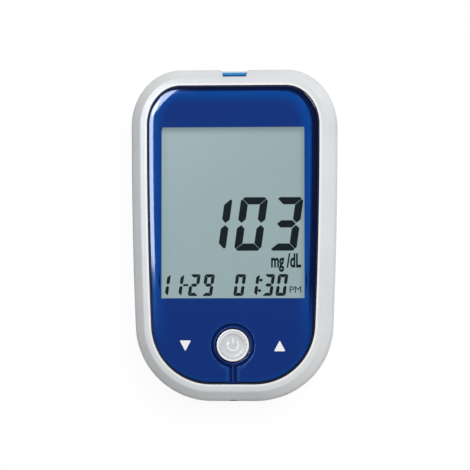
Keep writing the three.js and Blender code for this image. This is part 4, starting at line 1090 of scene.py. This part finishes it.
class Finish:
    """A material with its Principled shader, kept in FINISHES under its name, and short ways to add nodes
    before the shader. Colours are sRGB, 0 to 255."""

    def __init__(self, name, colour, roughness, **sockets):
        self.material = FINISHES[name] = bpy.data.materials.new(name)
        self.material.use_nodes = True
        self.nodes, self.links = self.material.node_tree.nodes, self.material.node_tree.links
        self.shader = self.nodes["Principled BSDF"]
        for socket, value in {"Base_Color": linear(*colour), "Roughness": roughness, **sockets}.items():
            self.shader.inputs[socket.replace("_", " ")].default_value = value
        self.spot = self.nodes.new("ShaderNodeTexCoord").outputs["Object"]

    def node(self, kind, output, sockets, **properties):
        """An output of a new node. Each of its sockets takes a constant or a link from another output."""
        made = self.nodes.new("ShaderNode" + kind)
        for name, value in properties.items():
            setattr(made, name, value)
        for name, value in sockets.items():
            if isinstance(value, bpy.types.NodeSocket):
                self.links.new(value, made.inputs[name])
            else:
                made.inputs[name].default_value = value
        return made.outputs[output]

    def feed(self, socket, value):
        """Links a value to a socket of the shader, and gives it back."""
        self.links.new(value, self.shader.inputs[socket])
        return value

    def noise(self, scale, detail=2.0, stretch=None):
        """Noise of that many grains a metre, longer along one axis if stretch gives the scale of each."""
        spot = self.spot
        if stretch:
            spot = self.node("Mapping", "Vector", {"Vector": spot, "Scale": stretch})
        return self.node("TexNoise", "Fac", {"Vector": spot, "Scale": scale, "Detail": detail})

    def spread(self, value, low, high, start=0.0, end=1.0):
        """start where the value is low, end where it is high, and evenly between them."""
        return self.node("MapRange", "Result", {
            "Value": value, "From Min": low, "From Max": high, "To Min": start, "To Max": end})

    def ramp(self, value, stops, low=0.0, high=1.0):
        """Colours along a value: low to high of the value fills the ramp, and each stop is a place with a
        colour, or with a linear grey from 0 to 1."""
        colours = self.node("ValToRGB", "Color", {"Fac": self.spread(value, low, high)})
        elements = colours.node.color_ramp.elements
        while len(elements) < len(stops):
            elements.new(0.5)
        for element, (place, colour) in zip(elements, stops):
            element.position = place
            element.color = (colour,) * 3 + (1,) if np.isscalar(colour) else linear(*colour)
        return colours

    def blend(self, share, first, second):
        """The first colour where share is 0, the second where it is 1."""
        return self.node("Mix", "Result", {"Factor": share, "A": first, "B": second}, data_type="RGBA")

    def fade(self, axis, start, end, first, second):
        """From the first colour at start to the second at end, along an axis, in metres."""
        place = self.node("SeparateXYZ", axis, {0: self.spot})
        return self.blend(self.spread(place, start, end), first, second)

    def math(self, operation, first, second):
        """Two values multiplied, or the larger of them, as the operation says."""
        return self.node("Math", 0, {0: first, 1: second}, operation=operation)

    def rough(self, noise, low, high):
        """Roughness from low to high along a noise."""
        return self.feed("Roughness", self.spread(noise, NOISE_LOW, NOISE_HIGH, low, high))

    def bump(self, value, height):
        """Relief of that many millimetres from a value."""
        self.feed("Normal", self.node("Bump", "Normal", {"Height": value, "Distance": height * MM}))


def plain(name, colour, roughness, patches, light, dark, grain=None, **sockets):
    """A finish that changes slowly between two colours, in so many patches a metre. grain is the scale,
    the detail and the height of its relief."""
    finish = Finish(name, colour, roughness, **sockets)
    finish.feed("Base Color", finish.ramp(finish.noise(patches, 3), [(0, light), (1, dark)], *PATCHES))
    if grain:
        finish.bump(finish.noise(*grain[:2]), grain[2])
    return finish


print("white in linear values", linear(255, 255, 255)[:3])

# %% [markdown]
# The silver of the case is a pale satin plastic with a fine grain, and a painted highlight runs along its
# crest. The blue is a clear, deep gloss with painted light and shade along its edge: painted shade and a
# painted dark reflection on the very edge, and just inside it a painted lighter band, for the light that
# comes through where the moulding thins. The attribute "edge", written on the panel's vertices, carries
# that along the outline wherever it goes, and the attribute "lip" does the same round the recess and along
# the slot, where painted light makes the blue lighter.

# %% Plastics
silver = Finish("silver_plastic", (226, 228, 230), 0.36, Specular_IOR_Level=0.22)
body = silver.ramp(silver.noise(70, 3), [(0, (229, 231, 232)), (1, (222, 225, 228))], *PATCHES)
# Along the top of the crest the colour turns near-white: a painted highlight.
painted_crest_highlight = silver.ramp(silver.noise(500, 2), [(0, (252, 252, 253)), (1, (249, 250, 251))])
silver.feed("Base Color", silver.fade("Z", (crest - 0.1) * MM, (crest - 0.02) * MM, body, painted_crest_highlight))
silver.rough(silver.noise(350, 3), 0.31, 0.4)
silver.bump(silver.noise(4200, 2), 0.006)

blue = Finish("blue_panel", (16, 46, 118), 0.1)
edge, lip = [blue.node("Attribute", "Fac", {}, attribute_name=name) for name in ("edge", "lip")]
BAND = 6
# Along the edge the colour is painted light and shade: painted shade and a dark reflection on the very edge, then
# a painted lighter band just inside it, by the strip end and by the keys alike.
painted_edge_light_strip_end = blue.ramp(edge, [
    (0.0, (0, 4, 28)), (0.07, (0, 14, 54)), (0.22, (0, 18, 64)), (0.3, (6, 72, 156)), (0.45, (6, 70, 153)),
    (0.8, (18, 54, 130)),
], high=BAND)
painted_edge_light_key_end = blue.ramp(edge, [
    (0.0, (0, 2, 22)), (0.08, (0, 8, 40)), (0.14, (13, 62, 142)), (0.24, (15, 58, 135)),
    (0.36, (17, 51, 126)), (1.0, (17, 51, 126)),
], high=BAND)
# The painted edge light and shade changes from the strip end's to the keys' down the panel.
inside = blue.fade("Y", -0.014, -0.034, painted_edge_light_strip_end, painted_edge_light_key_end)
# Round the recess and along the slot the lips are painted lighter, a painted highlight that is kept off the edge
# band.
painted_lip_light = blue.ramp(lip, [(0, (20, 76, 152)), (1, (22, 70, 146))])
painted_lip_share = blue.ramp(lip, [(0, 1), (0.3, 0.3), (1, 0)], 0.3, 1.6)
off_edge = blue.ramp(edge, [(0, 0), (1, 1)], 0.6, 1.0)
blue.feed("Base Color", blue.blend(blue.math("MULTIPLY", painted_lip_share, off_edge), inside, painted_lip_light))
gloss = blue.rough(blue.noise(120, 4), 0.07, 0.12)
matte_lip = blue.ramp(lip, [(0, 0), (0.4, 0.4), (1, 0)], 0.4, 0.9)
blue.feed("Roughness", blue.math("MAXIMUM", gloss, matte_lip))
blue.bump(blue.noise(60, 1), 0.004)

port_blue = Finish("port_blue", (18, 90, 150), 0.22)
deep, painted_mouth_highlight = [port_blue.ramp(port_blue.noise(500, 3), [(0, light), (1, dark)]) for light, dark in (
    ((8, 84, 138), (5, 76, 130)), ((62, 150, 205), (56, 142, 198)))]
# Over its last half millimetre at the mouth the port turns lighter: a painted highlight on the mouth's edge.
mouth_start, mouth_end = (port_high[1] - 0.7) * MM, (port_high[1] - 0.5) * MM
port_blue.feed("Base Color", port_blue.fade("Y", mouth_start, mouth_end, deep, painted_mouth_highlight))
port_blue.bump(port_blue.noise(2500, 2), 0.004)

plain("cap_plastic", (214, 216, 218), 0.4, 200, (217, 218, 220), (210, 212, 215), (3000, 2, 0.004))
# The near-white of this finish is a painted highlight on the button's bezel; on the power symbol and the arrows it
# is their own white.
plain("bright_plastic_and_painted_highlight", (252, 252, 253), 0.25, 300, (253, 253, 254), (250, 250, 252), (3500, 2, 0.003))
plain("dark_blue", (14, 46, 120), 0.32, 400, (15, 48, 123), (13, 43, 114), (300, 2, 0.004))
plain("white_plastic", (236, 236, 232), 0.5, 200, (238, 238, 234), (232, 232, 227), (3000, 2, 0.006))
plain("black_plastic", (34, 34, 36), 0.5, 300, (38, 38, 40), (30, 30, 32), (3500, 2, 0.01))
plain("black_foam", (44, 44, 46), 0.9, 2500, (50, 50, 52), (34, 34, 36), (2600, 4, 0.05))
print("finishes so far", len(FINISHES))

# %% Display, clear pane and printed films
pane = Finish("clear_pane", (70, 78, 80), 0.03, Alpha=0.04)
pane.bump(pane.noise(40, 1), 0.003)

# The display glows, though no lamp lights it from within: painted light that lifts its grey and fills the shadow
# of the window's edge on the film.
display = Finish("display_glass", (150, 173, 173), 0.4, Specular_IOR_Level=0.25,
                 Emission_Color=linear(154, 174, 176), Emission_Strength=0.69)
# Its colour is lighter towards the upper left: a painted light gradient across the film.
slope = display.node("VectorMath", "Value", {0: display.spot, 1: (-0.45, 0.89, 0)}, operation="DOT_PRODUCT")
display.feed("Base Color", display.ramp(slope, [
    (0, (97, 113, 114)), (0.6, (101, 117, 118)), (1, (113, 128, 131))], -0.02, 0.035))
display.rough(display.noise(900, 3), 0.28, 0.36)
display.bump(display.noise(5000, 2), 0.003)
plain("display_marks", (17, 29, 33), 0.3, 600, (18, 30, 34), (14, 26, 30), Specular_IOR_Level=0.1)

wrap = Finish("cell_wrap", (46, 50, 56), 0.3, Coat_Weight=0.4, Coat_Roughness=0.1)
along_cell = wrap.node("SeparateXYZ", "Y", {0: wrap.spot})
wrap.feed("Base Color", wrap.ramp(along_cell, [
    (0, (176, 178, 180)), (0.3, (176, 178, 180)), (0.31, (40, 44, 52)), (1, (40, 44, 52))], -0.0343, 0.0134))
wrap.rough(wrap.noise(300, 3), 0.24, 0.36)
plain("label_film", (228, 228, 225), 0.45, 150, (230, 230, 227), (224, 224, 220), (1500, 4, 0.004))
print("finishes so far", len(FINISHES))

# %% Metals and the circuit board
steel = plain("steel", (188, 189, 192), 0.32, 500, (192, 193, 196), (178, 180, 184), Metallic=1)
steel.rough(steel.noise(900, 3, (1, 1, 6)), 0.26, 0.4)
steel.bump(steel.noise(2500, 2, (1, 1, 8)), 0.003)
nickel = plain("nickel", (206, 205, 198), 0.24, 400, (208, 207, 201), (198, 196, 188), Metallic=1)
nickel.rough(nickel.noise(700, 3), 0.18, 0.3)
gold = plain("gold", (218, 186, 104), 0.26, 400, (222, 190, 108), (208, 174, 92), Metallic=1)
gold.rough(gold.noise(700, 3), 0.2, 0.32)

board = Finish("board_green", (30, 92, 54), 0.4)
board.feed("Base Color", board.node("TexBrick", "Color", {
    "Vector": board.spot, "Scale": 260, "Mortar Size": 0.06, "Color1": linear(30, 92, 54),
    "Color2": linear(26, 84, 48), "Mortar": linear(58, 122, 74)}))
board.rough(board.noise(400, 3), 0.34, 0.46)
print("finishes", len(FINISHES))

# %% [markdown]
# ## Who wears what
# The record names one material slot for each CAD node. The nodes that stay take their finish from there,
# and the new pieces are dressed by name.

# %% Dress the pieces
for entry in frame["record"]["subparts"]:
    for place in frame["nodes"][entry["node"]].material_slots:
        place.material = FINISHES[entry["material_slot"]]


def dress(slot, *pieces, finish=None):
    """Gives pieces the finish of a slot, or another finish."""
    for made in pieces:
        made.data.materials.clear()
        made.data.materials.append(FINISHES[finish or slot])


dress("silver_plastic", rim, tray, door, ridges, latch)
dress("silver_plastic", button, finish="cap_plastic")
# The bezel's near-white is a painted highlight.
dress("silver_plastic", bezel, symbol, *arrows, finish="bright_plastic_and_painted_highlight")
dress("blue_panel", panel_left, panel_right, *stems)
dress("dark_blue", surround, rib, deck)
dress("port_blue", port)
dress("display_glass", *layers)
dress("black_plastic", reading, small, finish="display_marks")
dress("cell_wrap", *cells)
dress("label_film", label)
dress("nickel", *coils)
dress("steel", *domes, *screws)
print("materials on the panel", panel_left.data.materials[0].name)

# %% [markdown]
# ## Floor, light and camera
# The floor is a wide dish that rises at its edge, so that it is also the backdrop of the side views. To
# the camera, and in reflections, it is white, and it keeps a little of the meter's shadow. The light is a
# broad soft lamp from the upper right and a dim world. Three small lamps show in reflections alone: two
# at the upper left draw the bright line along the panel's edge and round its corner, and a faint one is
# at the right. They stand high, so that the flat face mirrors them only to a camera that stands high too.

# %% Floor
FLOOR_DROP = 0.00005
FLOOR_GLOW = 1.05
GLOW_SHARE = 0.9
FLOOR_STEPS = 96
floor_profile = np.array([(0.001, 0), (0.3, 0), (0.8, 0), (1.3, 0), (1.6, 0.06), (1.9, 0.26), (2.2, 0.62),
                          (2.5, 1.1)]) - [0, FLOOR_DROP]
dish = turned_grid(floor_profile, 0, 0, FLOOR_STEPS)
floor_mesh = bpy.data.meshes.new("floor")
floor_faces = grid_faces(*dish.shape[:2]) + [list(range(FLOOR_STEPS))]
floor_mesh.from_pydata(dish.reshape(-1, 3).tolist(), [], floor_faces)
floor_mesh.shade_smooth()
floor = linked("floor", floor_mesh)

paper = Finish("floor_paper", (222, 222, 222), 0.9)
glow = paper.node("Emission", 0, {"Strength": FLOOR_GLOW})
seen = paper.node("LightPath", "Is Camera Ray", {})
rays = seen.node.outputs
for kind in ("Is Glossy Ray", "Is Transmission Ray"):
    seen = paper.math("MAXIMUM", seen, rays[kind])
share = paper.math("MULTIPLY", seen, GLOW_SHARE)
surface = paper.node("MixShader", 0, {"Fac": share, 1: paper.shader.outputs[0], 2: glow})
paper.links.new(surface, paper.nodes["Material Output"].inputs["Surface"])
floor.data.materials.append(paper.material)
print("floor radius", floor_profile[-1, 0], "m")

# %% Light
WORLD_STRENGTH = 0.09
SKY = (0.78, 0.87, 1.0)
scene = bpy.context.scene
scene.world = bpy.data.worlds.new("studio")
scene.world.use_nodes = True
background = scene.world.node_tree.nodes["Background"]
background.inputs["Color"].default_value = (1, 1, 1, 1)
background.inputs["Strength"].default_value = WORLD_STRENGTH


def aimed(name, data, place, back):
    """An object at a place, with its back along the direction `back`. Its length lies along Y as far as
    that direction allows."""
    made = linked(name, data)
    side = Vector((0, 1, 0)).cross(back).normalized()
    turn = Matrix((side, back.cross(side), back)).transposed().to_4x4()
    made.matrix_world = Matrix.Translation(place) @ turn
    return made


def lamp(name, place, aim, size, power):
    """An area light at a place, turned to an aim. size is its width and length, in metres."""
    light = bpy.data.lights.new(name, "AREA")
    light.shape = "RECTANGLE"
    light.size, light.size_y = size
    light.energy = power
    carrier = aimed(name, light, Vector(place), (Vector(place) - Vector(aim)).normalized())
    carrier.visible_camera = False
    return carrier


key = lamp("key", (0.35, 0.4, 1.3), (0, 0, 0), (0.7, 0.7), 17.8)
key.visible_glossy = False
left_strip = lamp("left_strip", (-0.156, 0.0598, 0.223), (-0.024, 0.0598, 0.024), (0.11, 0.13), 0.74)
corner_strip = lamp("corner_strip", (-0.1014, 0.1222, 0.224), (-0.02, 0.04, 0.024), (0.1, 0.1), 0.515)
left_strip.data.color = corner_strip.data.color = SKY
right_strip = lamp("right_strip", (0.2, 0.2, 0.1), (0.02, 0.03, 0.024), (0.05, 0.12), 0.25)
for strip in (left_strip, corner_strip, right_strip):
    strip.visible_diffuse = False

# %% Camera
SHOWN = 0.1366
DISTANCE = 0.85
SENSOR = 36
AIM = Vector((0.1, 0.16, 16)) * MM
TILT_X, TILT_Y = np.radians(4), np.radians(-2.5)
toward = Vector((np.tan(TILT_X), np.tan(TILT_Y), 1)).normalized()
camera = bpy.data.cameras.new("camera")
camera.sensor_width = SENSOR
camera.lens = SENSOR * DISTANCE / SHOWN
camera.clip_start, camera.clip_end = 0.05, 20
scene.camera = aimed("camera", camera, AIM + toward * DISTANCE, toward)
scene.view_settings.view_transform = "Standard"
print("lens", round(camera.lens, 1), "mm")
